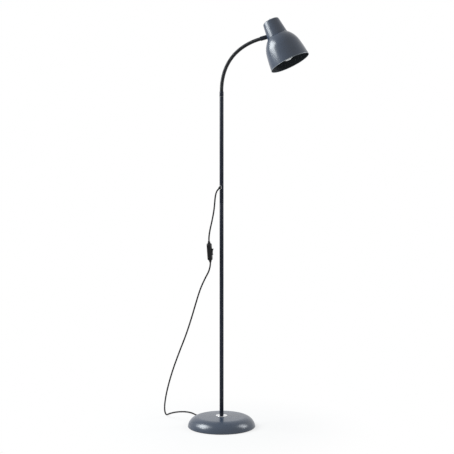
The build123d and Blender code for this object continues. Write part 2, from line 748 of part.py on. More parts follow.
def plug(start, heading):
    """Flat two-pin plug lying on the floor, its tapered relief towards the cord."""
    plane = Plane(origin=start, x_dir=Vector(heading.Y, -heading.X, 0), z_dir=heading)
    relief_length = 24.0
    relief = turned(
        (0, 0), (3.9, 0), (5.6, relief_length), (0, relief_length))
    for index in range(4):
        low = 4.0 + 4.6 * index
        relief = relief - tube(8.0, 3.5 + 0.3 * index, low, low + 1.6)
    body = loft([
        Pos(0, 0, relief_length) * RectangleRounded(16, 12.6, 4),
        Pos(0, 0, relief_length + 14) * RectangleRounded(32, PLUG_THICKNESS, 6),
    ]) + Pos(0, 0, relief_length + 14) * extrude(
        RectangleRounded(32, PLUG_THICKNESS, 6), PLUG_LENGTH - 14)
    pins = []
    for side in (-PIN_SPACING / 2, PIN_SPACING / 2):
        pin = rod(PIN_RADIUS, relief_length + PLUG_LENGTH, relief_length + PLUG_LENGTH + PIN_LENGTH)
        pins.append(Pos(side, 0, 0) * fillet(pin.edges().sort_by(Axis.Z)[-1], 0.9))
    save(plane * (relief + body), "plug_body")
    save(plane * Compound(children=pins), "plug_pins")


def tie():
    """Band round the coil's strands, on the side away from the lead-in."""
    strand = COIL_RADIUS - COIL_PITCH / 2
    middle = COIL_LIFT + CORD_RADIUS + COIL_PITCH / 2
    height = 2 * middle - 0.1
    width = height + 2 * TIE_ROOM
    side = COIL_CENTRE[1] + COIL_PITCH / 2
    plane = Plane(origin=(COIL_CENTRE[0] + strand, side, middle), x_dir=(1, 0, 0), z_dir=(0, 1, 0))
    hole = RectangleRounded(width - 2 * TIE_WALL, height - 2 * TIE_WALL, 2.4)
    band = extrude(RectangleRounded(width, height, 3.0) - hole, TIE_WIDTH / 2, both=True)
    save(plane * band, "cord_tie")


def cord():
    """Both hanging stretches, the switch on them, the coil, its tie and the plug."""
    mouth = exit_plane(GROMMET_MOUTH).origin
    up = switch_plane().z_dir
    half = (Vector(*SWITCH_TOP) - Vector(*SWITCH_BOTTOM)).length / 2
    top = switch_plane().origin + up * half
    bottom = switch_plane().origin - up * half
    upper = [mouth, *[Vector(*p) for p in UPPER_ROUTE], top + up * 15, top]
    heading = Vector(1, 0, 0)
    level = CORD_RADIUS + COIL_LIFT
    coil_start = Vector(COIL_CENTRE[0], COIL_CENTRE[1] - COIL_RADIUS, level)
    coil_start = coil_start - heading * 2 * CORD_RADIUS
    lower = [bottom, bottom - up * 14, *[Vector(*p) for p in LOWER_ROUTE]]
    lower += [coil_start - heading * 26, coil_start]
    wire, end, heading = coil(coil_start, heading)
    total = cord_tube(upper, "cord_upper") + cord_tube(lower, "cord_lower")
    winding = sweep(Plane(wire @ 0, z_dir=wire % 0) * Circle(CORD_RADIUS), wire)
    save(winding, "cord_coil")
    print("coil length", round(wire.length, 1), "least gap", round(least_gap(wire), 2))
    print("cord from grommet to plug", round(total + wire.length + 2 * half))
    print("coil end", end, heading)
    tie()
    plug(end, heading)
    switch()


foot_level = base()
collar_level = pole(foot_level)
head(neck(collar_level))
cord()
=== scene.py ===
import json
from math import asin, atan2, cos, pi, radians, sin, sqrt, tan

import bmesh
import bpy
from mathutils import Matrix, Vector


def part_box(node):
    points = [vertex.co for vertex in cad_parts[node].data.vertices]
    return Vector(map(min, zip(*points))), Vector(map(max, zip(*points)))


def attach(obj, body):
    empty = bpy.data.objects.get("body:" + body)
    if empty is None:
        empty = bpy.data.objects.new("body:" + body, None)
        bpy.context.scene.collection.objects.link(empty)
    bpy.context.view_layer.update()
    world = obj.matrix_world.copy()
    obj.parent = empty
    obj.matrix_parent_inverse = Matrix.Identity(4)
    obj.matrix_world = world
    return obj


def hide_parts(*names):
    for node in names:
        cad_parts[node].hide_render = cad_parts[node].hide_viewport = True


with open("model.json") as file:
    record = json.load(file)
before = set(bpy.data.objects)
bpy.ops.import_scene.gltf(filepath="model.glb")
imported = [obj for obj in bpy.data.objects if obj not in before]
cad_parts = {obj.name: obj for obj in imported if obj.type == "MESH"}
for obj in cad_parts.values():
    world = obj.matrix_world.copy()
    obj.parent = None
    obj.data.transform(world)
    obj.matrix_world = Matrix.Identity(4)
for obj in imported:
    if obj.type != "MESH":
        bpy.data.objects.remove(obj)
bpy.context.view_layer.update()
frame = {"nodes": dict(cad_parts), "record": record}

# Gooseneck reading floor lamp, in metres. The origin is the centre of the base's underside,
# on the pole's axis. +Z is up, and the neck leans over towards +X.

MM = 0.001
SHARP_ANGLE = 32.0              # edges sharper than this are shown sharp

# ---- sizes taken from the frame ----
BASE_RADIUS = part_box("base_cover")[1].x
BASE_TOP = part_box("base_cover")[1].z
PAD_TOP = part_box("base_pad")[1].z
PAD_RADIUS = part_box("base_pad")[1].x
FLANGE_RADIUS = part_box("flange_washer")[1].x
FLANGE_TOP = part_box("flange_washer")[1].z
POLE_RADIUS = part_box("pole_lower")[1].x
POLE_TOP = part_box("pole_upper")[1].z
COLLAR_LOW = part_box("lower_ferrule")[0].z
COLLAR_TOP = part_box("lower_ferrule")[1].z
COLLAR_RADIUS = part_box("lower_ferrule")[1].x

# ---- sizes of the bent neck and the shade ----
BASE_SHOULDER = 42.0 * MM
BASE_CROWN = 1.4 * MM
NECK_START = 1235.0 * MM
NECK_LENGTH = 255.0 * MM
NECK_TURN = 75.5
NECK_EASE = 0.2
NECK_LINKS = 12
SOCKET_LIP = 1.75 * MM
LINK_GAP = 3.2 * MM
CREST_RADIUS = 6.75 * MM
RIB_DEPTH = 0.5 * MM
RIBS_TO_HINGE = 8
BALL_RADIUS = 6.1 * MM
HALF_GROOVE = 0.55 * MM         # between two sleeves, at the hinge
UPPER_FERRULE_LENGTH = 24.0 * MM
UPPER_FERRULE_RADIUS = 8.0 * MM
SHADE_TILT = 24.9
CAP_TAPER = 7.7
CAP_LENGTH = 61.5 * MM
CAP_TOP_RADIUS = 30.6 * MM
CAP_CORNER = 6.5 * MM
CAP_WALL = 0.8 * MM
NECK_ENTRY = 46.6 * MM
SHADE_LENGTH = 170.0 * MM
BELL_WALL = 0.9 * MM
BELL_START_RADIUS = 39.2 * MM
BELL_START_ANGLE = 47.3
BELL_SHOULDER = (88.0 * MM, 36.0)
BELL_SKIRT_RADIUS = 560.0 * MM
RIM_BEAD = 1.0 * MM
HOLDER_RADIUS = 20.0 * MM
BULB_TIP = 159.0 * MM
BULB_RADIUS = 30.0 * MM

# ---- cord: the coil's sizes and the routes are in millimetres, as in the part's source ----
CORD_RADIUS = 2.8 * MM
CORD_BORE = 2.85 * MM           # of the reliefs and the bush round the cord
CORD_EXIT_HEIGHT = 878.0 * MM
CORD_EXIT_ANGLE = 229.0
CORD_EXIT_DROP = 40.0
GROMMET_MOUTH = 11.5 * MM
SWITCH_TOP = Vector((-41.8, -27.9, 676.0)) * MM
SWITCH_BOTTOM = Vector((-37.3, -27.2, 610.0)) * MM
SWITCH_LENGTH = 64.0 * MM
SWITCH_WIDTH = 27.0 * MM
SWITCH_DEPTH = 16.4 * MM
ROCKER_TILT = 8.0
COIL_RADIUS = 32.0
COIL_PITCH = 6.2
COIL_CENTRE = (-54.8, 151.2)
COIL_LIFT = 0.9
TIE_WALL = 0.7 * MM
LEAD_IN = (31.6, 5.6)           # the cord lies level between these distances before the coil
TAIL_START = 8.0
TAIL_RUNS = (22.0, 22.0, 6.0)   # level, down to the plug's height, and into the plug
TAIL_TURN = 15.0
PLUG_LENGTH = 34.0 * MM
PLUG_THICKNESS = 14.0 * MM

UPPER_ROUTE = [
    (-13.1, -15.0, 868.9),
    (-17.3, -19.9, 857.7),
    (-20.2, -23.2, 840.2),
    (-21.9, -24.6, 814.0),
    (-25.2, -25.0, 786.0),
    (-32.0, -25.6, 752.0),
    (-39.6, -27.4, 718.0),
]
LOWER_ROUTE = [
    (-42.4, -27.8, 571.0),
    (-56.5, -27.2, 546.0),
    (-74.7, -27.0, 507.0),
    (-91.3, -24.6, 455.0),
    (-109.2, -20.3, 397.0),
    (-130.6, -12.6, 336.0),
    (-156.9, -0.5, 275.0),
    (-184.8, 16.3, 208.0),
    (-208.8, 39.5, 143.0),
    (-227.0, 64.8, 84.0),
    (-238.0, 92.0, 35.0),
    (-239.0, 124.0, 3.2),
    (-233.0, 163.0, 2.8),
    (-208.0, 195.0, 2.8),
    (-172.0, 201.0, 2.8),
    (-143.0, 178.0, 2.8),
    (-124.0, 147.0, 2.9),
]

# ---- camera, from the photograph ----
CAMERA_PLACE = (0.48906, -2.95994, 0.7335)
CAMERA_TURN = 9.0
FOCAL_PIXELS = 815.2
PHOTO_PIXELS = 454
SENSOR = 36.0


# ---- materials ----
class Finish:
    """A procedural material: a Principled shader and the nodes that feed it."""

    def __init__(self, name, colour, roughness, metallic=0.0):
        self.material = bpy.data.materials.new(name)
        self.material.use_nodes = True
        self.tree = self.material.node_tree
        self.shader = self.tree.nodes["Principled BSDF"]
        self.shader.inputs["Base Color"].default_value = (*colour, 1)
        self.shader.inputs["Roughness"].default_value = roughness
        self.shader.inputs["Metallic"].default_value = metallic
        self.place = self.tree.nodes.new("ShaderNodeTexCoord").outputs["Object"]

    def put(self, socket, value):
        """Set one of the shader's plain values."""
        self.shader.inputs[socket].default_value = value
        return self

    def noise(self, size, detail=3.0, stretch=(1, 1, 1), rough=0.5):
        """Noise whose lumps are about this size, in metres."""
        node = self.tree.nodes.new("ShaderNodeTexNoise")
        node.inputs["Scale"].default_value = 1 / size
        node.inputs["Detail"].default_value = detail
        node.inputs["Roughness"].default_value = rough
        self.tree.links.new(self.stretched(stretch), node.inputs["Vector"])
        return node.outputs["Fac"]

    def cells(self, size, stretch=(1, 1, 1)):
        """Rounded cells about this size, in metres."""
        node = self.tree.nodes.new("ShaderNodeTexVoronoi")
        node.feature = "SMOOTH_F1"
        node.inputs["Scale"].default_value = 1 / size
        self.tree.links.new(self.stretched(stretch), node.inputs["Vector"])
        return node.outputs["Distance"]

    def stretched(self, stretch):
        """Object coordinates, scaled along each axis."""
        if tuple(stretch) == (1, 1, 1):
            return self.place
        node = self.tree.nodes.new("ShaderNodeMapping")
        node.inputs["Scale"].default_value = stretch
        self.tree.links.new(self.place, node.inputs["Vector"])
        return node.outputs["Vector"]

    def ramp(self, factor, *stops):
        """Colours by the factor, at their places."""
        node = self.tree.nodes.new("ShaderNodeValToRGB")
        while len(node.color_ramp.elements) < len(stops):
            node.color_ramp.elements.new(0.5)
        for element, (at, colour) in zip(node.color_ramp.elements, stops):
            element.position = at
            element.color = (*colour, 1)
        self.tree.links.new(factor, node.inputs["Fac"])
        return node.outputs["Color"]

    def band(self, factor, low, high):
        """The factor's range from 0.3 to 0.7 spread over low to high."""
        node = self.tree.nodes.new("ShaderNodeMapRange")
        node.inputs["From Min"].default_value = 0.3
        node.inputs["From Max"].default_value = 0.7
        node.inputs["To Min"].default_value = low
        node.inputs["To Max"].default_value = high
        self.tree.links.new(factor, node.inputs["Value"])
        return node.outputs["Result"]

    def feed(self, socket, source):
        """Drive one of the shader's sockets from a node."""
        self.tree.links.new(source, self.shader.inputs[socket])
        return self

    def bump(self, *layers):
        """Bump from (height, depth in metres) layers, one on another."""
        normal = None
        for height, depth in layers:
            node = self.tree.nodes.new("ShaderNodeBump")
            node.inputs["Distance"].default_value = depth
            node.inputs["Strength"].default_value = 1.0
            self.tree.links.new(height, node.inputs["Height"])
            if normal is not None:
                self.tree.links.new(normal, node.inputs["Normal"])
            normal = node.outputs["Normal"]
        return self.feed("Normal", normal)

    def dress(self, tone, tones, gloss, glosses, *layers):
        """Colour and roughness, each from its own pattern, and layers of bump."""
        self.feed("Base Color", self.ramp(tone, *tones))
        self.feed("Roughness", self.band(gloss, *glosses))
        return self.bump(*layers).material if layers else self.material


def shades(colour, spread):
    """Stops for a ramp from a darker to a lighter tone of a colour."""
    dark = tuple(c * (1 - spread) for c in colour)
    light = tuple(c * (1 + spread) for c in colour)
    return (0.35, dark), (0.65, light)


def satin_paint():
    """Blue-grey powder coat with a light orange peel."""
    colour = (0.031, 0.046, 0.074)
    finish = Finish("satin_blue_grey_paint", colour, 0.3).put("Specular IOR Level", 0.58)
    return finish.dress(
        finish.noise(0.045, 4), shades(colour, 0.05),
        finish.noise(0.02, 4), (0.24, 0.29),
        (finish.noise(0.0022, 1), 0.0000025))


def rim_highlight_paint():
    """Painted highlight on the bell's rolled rim: the bell's paint made paler, its tone varying at random."""
    finish = Finish("painted_highlight_on_rim", (0.17, 0.19, 0.215), 0.3).put("Specular IOR Level", 0.58)
    return finish.dress(
        finish.noise(0.012, 4), ((0.35, (0.14, 0.16, 0.18)), (0.65, (0.2, 0.225, 0.25))),
        finish.noise(0.006, 3), (0.26, 0.36))


def painted_shadow_inside():
    """Painted shadow inside the shade: the bell's paint made darker, and flatter."""
    colour = (0.009, 0.013, 0.017)
    finish = Finish("painted_shadow_in_bell", colour, 0.55).put("Specular IOR Level", 0.25)
    return finish.dress(
        finish.noise(0.03, 4), shades(colour, 0.12),
        finish.noise(0.012, 3), (0.5, 0.62),
        (finish.noise(0.0012, 2), 0.00005))


def pole_paint():
    """Dark slate paint on the drawn tube, with faint draw lines."""
    colour = (0.017, 0.021, 0.032)
    finish = Finish("dark_slate_paint", colour, 0.3).put("Specular IOR Level", 0.1)
    return finish.dress(
        finish.noise(0.06, 4), shades(colour, 0.1),
        finish.noise(0.015, 4, (1, 1, 0.25)), (0.26, 0.35),
        (finish.noise(0.0014, 2), 0.00001), (finish.noise(0.0008, 1, (1, 1, 0.02)), 0.000004))


def neck_finish():
    """Black plated steel of the ribbed neck."""
    finish = Finish("black_neck_metal", (0.012, 0.014, 0.016), 0.36, 0.55).put("Specular IOR Level", 0.35)
    return finish.dress(
        finish.noise(0.01, 4), ((0.35, (0.008, 0.009, 0.011)), (0.7, (0.022, 0.025, 0.028))),
        finish.noise(0.004, 4), (0.30, 0.46),
        (finish.noise(0.0007, 2), 0.00003))


def chrome():
    """Bright plated steel with faint polishing marks."""
    finish = Finish("bright_chrome", (0.78, 0.79, 0.80), 0.1, 1.0)
    finish.feed("Roughness", finish.band(finish.noise(0.006, 4), 0.06, 0.16))
    return finish.bump((finish.noise(0.0006, 2), 0.000006)).material


def zinc_steel():
    """Dull zinc-plated steel with the spangle of the plating."""
    finish = Finish("zinc_plated_steel", (0.2, 0.2, 0.19), 0.38, 1.0)
    return finish.dress(
        finish.cells(0.003), ((0.1, (0.14, 0.14, 0.14)), (0.9, (0.24, 0.24, 0.23))),
        finish.noise(0.003, 3), (0.3, 0.48),
        (finish.noise(0.0009, 2), 0.00002))


def cast_iron():
    """Rough grey casting of the base weight."""
    finish = Finish("grey_casting", (0.055, 0.055, 0.057), 0.75, 0.3)
    return finish.dress(
        finish.noise(0.012, 5), ((0.3, (0.035, 0.034, 0.034)), (0.7, (0.085, 0.083, 0.08))),
        finish.noise(0.004, 3), (0.65, 0.85),
        (finish.noise(0.0018, 4), 0.0002))


def brass():
    """Yellow brass of the lampholder's thread."""
    finish = Finish("thread_brass", (0.62, 0.43, 0.18), 0.3, 1.0)
    return finish.dress(
        finish.noise(0.005, 4), ((0.3, (0.46, 0.30, 0.12)), (0.7, (0.68, 0.49, 0.22))),
        finish.noise(0.003, 3), (0.22, 0.42),
        (finish.noise(0.0005, 2), 0.00001))


def black_moulding():
    """Black moulded plastic with a fine spark grain."""
    colour = (0.006, 0.006, 0.007)
    finish = Finish("black_moulded_plastic", colour, 0.42).put("Specular IOR Level", 0.2)
    return finish.dress(
        finish.noise(0.01, 3), shades(colour, 0.2),
        finish.noise(0.002, 3), (0.36, 0.5),
        (finish.cells(0.0005), 0.00004))


def cord_sheath():
    """Soft black sheath with a dull skin."""
    colour = (0.005, 0.005, 0.006)
    finish = Finish("black_cord_sheath", colour, 0.48).put("Specular IOR Level", 0.12)
    return finish.dress(
        finish.noise(0.02, 3), shades(colour, 0.25),
        finish.noise(0.006, 3), (0.42, 0.56),
        (finish.noise(0.0009, 2), 0.00003))


def foam_pad():
    """Black foam under the base, with open pores."""
    finish = Finish("black_foam", (0.014, 0.014, 0.015), 0.9).put("Specular IOR Level", 0.1)
    return finish.dress(
        finish.cells(0.0009), ((0.15, (0.003, 0.003, 0.003)), (0.6, (0.008, 0.008, 0.009))),
        finish.noise(0.004, 3), (0.85, 0.97),
        (finish.cells(0.0009), 0.00025))


def white_carrier():
    """White moulded body of the lampholder's contacts."""
    finish = Finish("white_carrier", (0.62, 0.61, 0.57), 0.45)
    return finish.dress(
        finish.noise(0.006, 4), ((0.3, (0.55, 0.54, 0.5)), (0.7, (0.67, 0.66, 0.62))),
        finish.noise(0.003, 3), (0.38, 0.55),
        (finish.noise(0.0008, 2), 0.00003))


def frosted_glass():
    """Etched white bulb glass."""
    finish = Finish("frosted_bulb_glass", (0.86, 0.87, 0.86), 0.4)
    finish.put("Transmission Weight", 0.25).put("IOR", 1.5)
    return finish.dress(
        finish.noise(0.008, 4), ((0.3, (0.82, 0.83, 0.82)), (0.7, (0.9, 0.91, 0.9))),
        finish.noise(0.0012, 3), (0.34, 0.48),
        (finish.noise(0.0005, 2), 0.00001))


def bulb_metal():
    """Spun aluminium of the bulb's screw cap."""
    finish = Finish("bulb_aluminium", (0.66, 0.66, 0.64), 0.32, 1.0)
    return finish.dress(
        finish.noise(0.004, 4), ((0.3, (0.56, 0.56, 0.54)), (0.7, (0.72, 0.72, 0.7))),
        finish.noise(0.002, 3), (0.25, 0.42),
        (finish.noise(0.0004, 2), 0.00001))


FINISHES = {
    "satin_paint": satin_paint(),
    "dark_paint": pole_paint(),
    "neck_metal": neck_finish(),
    "chrome": chrome(),
    "zinc_steel": zinc_steel(),
    "cast_weight": cast_iron(),
    "thread_brass": brass(),
    "black_moulding": black_moulding(),
    "cord_sheath": cord_sheath(),
    "foam_pad": foam_pad(),
    "white_carrier": white_carrier(),
    "frosted_glass": frosted_glass(),
    "bulb_metal": bulb_metal(),
}
INSIDE_SHADOW_PAINT = painted_shadow_inside()
RIM_HIGHLIGHT = rim_highlight_paint()


# ---- making pieces ----
def finished(obj, slot, body, *nodes):
    """Give a piece its finish, its body, and the CAD nodes that it stands for."""
    if not obj.data.materials:
        obj.data.materials.append(FINISHES[slot])
    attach(obj, body)
    if nodes:
        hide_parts(*nodes)
    return obj


def object_of(name, mesh):
    """An object of a mesh, smooth but for its sharp edges."""
    mesh.shade_smooth()
    mesh.set_sharp_from_angle(angle=radians(SHARP_ANGLE))
    obj = bpy.data.objects.new(name, mesh)
    bpy.context.scene.collection.objects.link(obj)
    return obj


def mesh_of(name, work):
    """A mesh from a bmesh, its faces turned outwards."""
    bmesh.ops.remove_doubles(work, verts=work.verts, dist=1e-7)
    bmesh.ops.recalc_face_normals(work, faces=work.faces)
    mesh = bpy.data.meshes.new(name)
    work.to_mesh(mesh)
    work.free()
    return mesh


def arc(centre, radius, start, end, steps):
    """Points of an arc in the (radius, height) plane, angles in degrees from the +radius axis."""
    return [
        (centre[0] + radius * cos(radians(start + (end - start) * i / steps)),
         centre[1] + radius * sin(radians(start + (end - start) * i / steps)))
        for i in range(steps + 1)
    ]


def lathe(name, outline, place=Matrix.Identity(4), around=96, closed=True):
    """Turned mesh about Z of a (radius, height) outline, then put in its place."""
    work = bmesh.new()
    rings = []
    for radius, height in outline:
        if radius < 1e-6:
            rings.append([work.verts.new((0, 0, height))])
        else:
            rings.append([
                work.verts.new((radius * cos(2 * pi * i / around), radius * sin(2 * pi * i / around), height))
                for i in range(around)])
    pairs = list(zip(rings, rings[1:]))
    if closed:
        pairs.append((rings[-1], rings[0]))
    for low, high in pairs:
        if len(low) == 1 and len(high) == 1:
            continue
        for i in range(around):
            j = (i + 1) % around
            corners = [low[i % len(low)], low[j % len(low)], high[j % len(high)], high[i % len(high)]]
            work.faces.new(dict.fromkeys(corners))
    work.transform(place)
    return object_of(name, mesh_of(name, work))


def loft(name, sections, place=Matrix.Identity(4)):
    """Skin over closed sections with the same count of points, its ends closed."""
    work = bmesh.new()
    loops = [[work.verts.new(point) for point in section] for section in sections]
    count = len(loops[0])
    for low, high in zip(loops, loops[1:]):
        for i in range(count):
            j = (i + 1) % count
            work.faces.new((low[i], low[j], high[j], high[i]))
    work.faces.new(loops[0])
    work.faces.new(loops[-1])
    work.transform(place)
    return object_of(name, mesh_of(name, work))


def bevelled(obj, width, segments=3, angle=35.0):
    """Round the sharp edges of a piece, and keep the result in its mesh."""
    bevel = obj.modifiers.new("edges", "BEVEL")
    bevel.width = width
    bevel.segments = segments
    bevel.limit_method = "ANGLE"
    bevel.angle_limit = radians(angle)
    bevel.harden_normals = False
    return applied(obj)


def applied(obj):
    """Keep what a piece's modifiers make as its own mesh."""
    graph = bpy.context.evaluated_depsgraph_get()
    mesh = bpy.data.meshes.new_from_object(obj.evaluated_get(graph))
    obj.modifiers.clear()
    old, obj.data = obj.data, mesh
    bpy.data.meshes.remove(old)
    mesh.shade_smooth()
    mesh.set_sharp_from_angle(angle=radians(SHARP_ANGLE))
    return obj


def place_of(origin, x_dir, z_dir):
    """Matrix of a plane with this origin, X and Z."""
    z = Vector(z_dir).normalized()
    x = Vector(x_dir)
    x = (x - z * x.dot(z)).normalized()
    turn = Matrix((x, z.cross(x), z)).transposed().to_4x4()
    return Matrix.Translation(origin) @ turn


# ---- base ----
def base():
    """Domed cover over its foam pad, and the bright washer at the pole's foot."""
    flat = BASE_RADIUS - BASE_SHOULDER
    crown_edge = BASE_TOP - BASE_CROWN
    centre = crown_edge - BASE_SHOULDER
    foot = -180 / pi * asin((centre - PAD_TOP) / BASE_SHOULDER)
    top = [(flat * i / 14, BASE_TOP - BASE_CROWN * (i / 14) ** 2) for i in range(1, 14)]
    hem = 0.0012
    side = arc((flat, centre), BASE_SHOULDER, 90, foot, 40)
    hole = 0.006
    cover = [(hole, BASE_TOP), *top, *side]
    edge = side[-1]
    cover += [(edge[0] - 0.0003, edge[1] - 0.0002), (edge[0] - hem, edge[1] - 0.0001)]
    cover += [(edge[0] - hem, edge[1] + 0.003)]
    inner = arc((flat, centre), BASE_SHOULDER - hem, foot + 6, 90, 20)
    cover += inner + [(hole, BASE_TOP - hem)]
    finished(lathe("domed_cover", cover, around=160), "satin_paint", "stand", "base_cover")
    chamfer = 0.0004
    pad = [
        (0, 0), (PAD_RADIUS - chamfer, 0), (PAD_RADIUS, chamfer),
        (PAD_RADIUS, PAD_TOP - chamfer), (PAD_RADIUS - chamfer, PAD_TOP), (0, PAD_TOP),
    ]
    finished(lathe("foam_foot", pad, around=160), "foam_pad", "stand", "base_pad")
    rise = FLANGE_TOP - BASE_TOP
    washer = [
        (hole, BASE_TOP), (FLANGE_RADIUS - 0.0002, BASE_TOP), (FLANGE_RADIUS, BASE_TOP + 0.0002),
        (FLANGE_RADIUS, BASE_TOP + 0.0008), (FLANGE_RADIUS - 0.0004, BASE_TOP + 0.0012),
        (FLANGE_RADIUS - 0.0014, BASE_TOP + 0.0015),
        (POLE_RADIUS + 0.0034, BASE_TOP + rise - 0.0001), (POLE_RADIUS + 0.0026, BASE_TOP + rise),
        (hole, BASE_TOP + rise),
    ]
    finished(lathe("foot_washer", washer, around=96), "chrome", "stand", "flange_washer")


# ---- pole ----
def pole():
    """Three tube sections with a hairline at each joint, the bright ring over them, and the collar."""
    soft = 0.00035
    wall = 0.001
    bore = 0.005
    socket = 0.0048
    for name in ("pole_lower", "pole_middle", "pole_upper"):
        low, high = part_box(name)[0].z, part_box(name)[1].z
        outline = [
            (POLE_RADIUS - wall, low), (POLE_RADIUS - soft, low), (POLE_RADIUS - 0.0001, low + 0.0001),
            (POLE_RADIUS, low + soft), (POLE_RADIUS, high - soft),
            (POLE_RADIUS - 0.0001, high - 0.0001), (POLE_RADIUS - soft, high), (POLE_RADIUS - wall, high),
        ]
        finished(lathe(name + "_tube", outline, around=64), "dark_paint", "stand", name)
    ring = [
        (bore, POLE_TOP + 0.00005), (POLE_RADIUS - 0.0001, POLE_TOP + 0.00005),
        (POLE_RADIUS, POLE_TOP + 0.00015), (POLE_RADIUS, COLLAR_LOW - 0.00015),
        (POLE_RADIUS - 0.0001, COLLAR_LOW - 0.00005), (bore, COLLAR_LOW - 0.00005),
    ]
    finished(lathe("bright_ring", ring, around=64), "zinc_steel", "stand", "head_insert")
    r, low, top = COLLAR_RADIUS, COLLAR_LOW, COLLAR_TOP
    collar = [
        (bore, low), (r - 0.0005, low), (r - 0.0001, low + 0.0002), (r, low + 0.0006),
        (r, top - 0.0012), (r - 0.0002, top - 0.0006), (r - 0.0006, top - 0.0001), (r - 0.0009, top),
        (0.0064, top - 0.0002), (0.0062, top - 0.001), (0.0062, top - socket), (bore, top - socket),
    ]
    finished(lathe("lower_collar", collar, around=64), "dark_paint", "stand", "lower_ferrule")


def exit_direction():
    """Direction in which the cord leaves the grommet."""
    level = cos(radians(CORD_EXIT_DROP))
    angle = radians(CORD_EXIT_ANGLE)
    return Vector((level * cos(angle), level * sin(angle), -sin(radians(CORD_EXIT_DROP))))


def exit_point(distance):
    """Point of the exit's axis at this distance from the pole's axis."""
    on_axis = Vector((0, 0, CORD_EXIT_HEIGHT + POLE_RADIUS * tan(radians(CORD_EXIT_DROP))))
    return on_axis + exit_direction() * distance / cos(radians(CORD_EXIT_DROP))


def grommet():
    """Rubber bush with a collar against the tube and a ringed, tapered nose."""
    inner = 0.005
    reach = (GROMMET_MOUTH - inner) / cos(radians(CORD_EXIT_DROP))
    outline = [
        (CORD_BORE, 0.001), (0.0046, 0.001), (0.0053, 0.0018), (0.0054, 0.0024),
        (0.0054, 0.0052), (0.0052, 0.0056), (0.0049, 0.0058), (0.0049, 0.0063), (0.0050, 0.0066),
        (0.0044, reach - 0.0006), (0.0041, reach - 0.0001), (0.0038, reach), (CORD_BORE, reach),
    ]
    place = place_of(exit_point(inner), (0, 0, 1), exit_direction())
    finished(lathe("cord_bush", outline, place, 48), "black_moulding", "stand", "cord_grommet")
    eyelet(place, 0.0056, 0.0005)


def eyelet(place, radius, thickness):
    """Bright rolled edge of the hole, lying on the tube round the bush."""
    across, beside, way = (place.to_3x3() @ Vector(axis) for axis in ((1, 0, 0), (0, 1, 0), (0, 0, 1)))
    level = way.x ** 2 + way.y ** 2
    ring = []
    count, sides = 48, 10
    for i in range(count):
        turn = 2 * pi * i / count
        point = place.translation + (across * cos(turn) + beside * sin(turn)) * radius
        # How far along the exit's axis this point meets the tube.
        half = point.x * way.x + point.y * way.y
        rest = point.x ** 2 + point.y ** 2 - POLE_RADIUS ** 2
        ring.append(point + way * (sqrt(half ** 2 - level * rest) - half) / level)
    work = bmesh.new()
    loops = []
    for before, here, after in zip(ring[-1:] + ring[:-1], ring, ring[1:] + ring[:1]):
        out = Vector((here.x, here.y, 0)).normalized()
        side = out.cross((after - before).normalized())
        around = [2 * pi * k / sides for k in range(sides)]
        loops.append([
            work.verts.new(here + (out * sin(turn) + side * cos(turn)) * thickness) for turn in around])
    for here, after in zip(loops, loops[1:] + loops[:1]):
        for k in range(sides):
            j = (k + 1) % sides
            work.faces.new((here[k], here[j], after[j], after[k]))
    finished(object_of("bush_eyelet", mesh_of("bush_eyelet", work)), "chrome", "stand")


# ---- gooseneck ----
def neck_angle(along):
    """Angle of the neck's centre line from upright, this far along its bend."""
    part = min(max(along / NECK_LENGTH, 0), 1)
    return radians(NECK_TURN) * (part - NECK_EASE * sin(2 * pi * part) / (2 * pi))


def neck_point(along):
    """Point of the centre line, this far along its bend."""
    if along <= 0:
        return Vector((0, 0, NECK_START + along))
    x, z, steps = 0.0, NECK_START, 400
    for step in range(steps):
        angle = neck_angle((step + 0.5) * along / steps)
        x += sin(angle) * along / steps
        z += cos(angle) * along / steps
    return Vector((x, 0, z))


def hinge_places():
    """Lengths along the neck at its thirteen hinges, from the lower collar to the upper ferrule."""
    first = COLLAR_TOP - SOCKET_LIP - NECK_START
    last = NECK_LENGTH - LINK_GAP - SOCKET_LIP
    return [first + (last - first) * i / NECK_LINKS for i in range(NECK_LINKS + 1)]


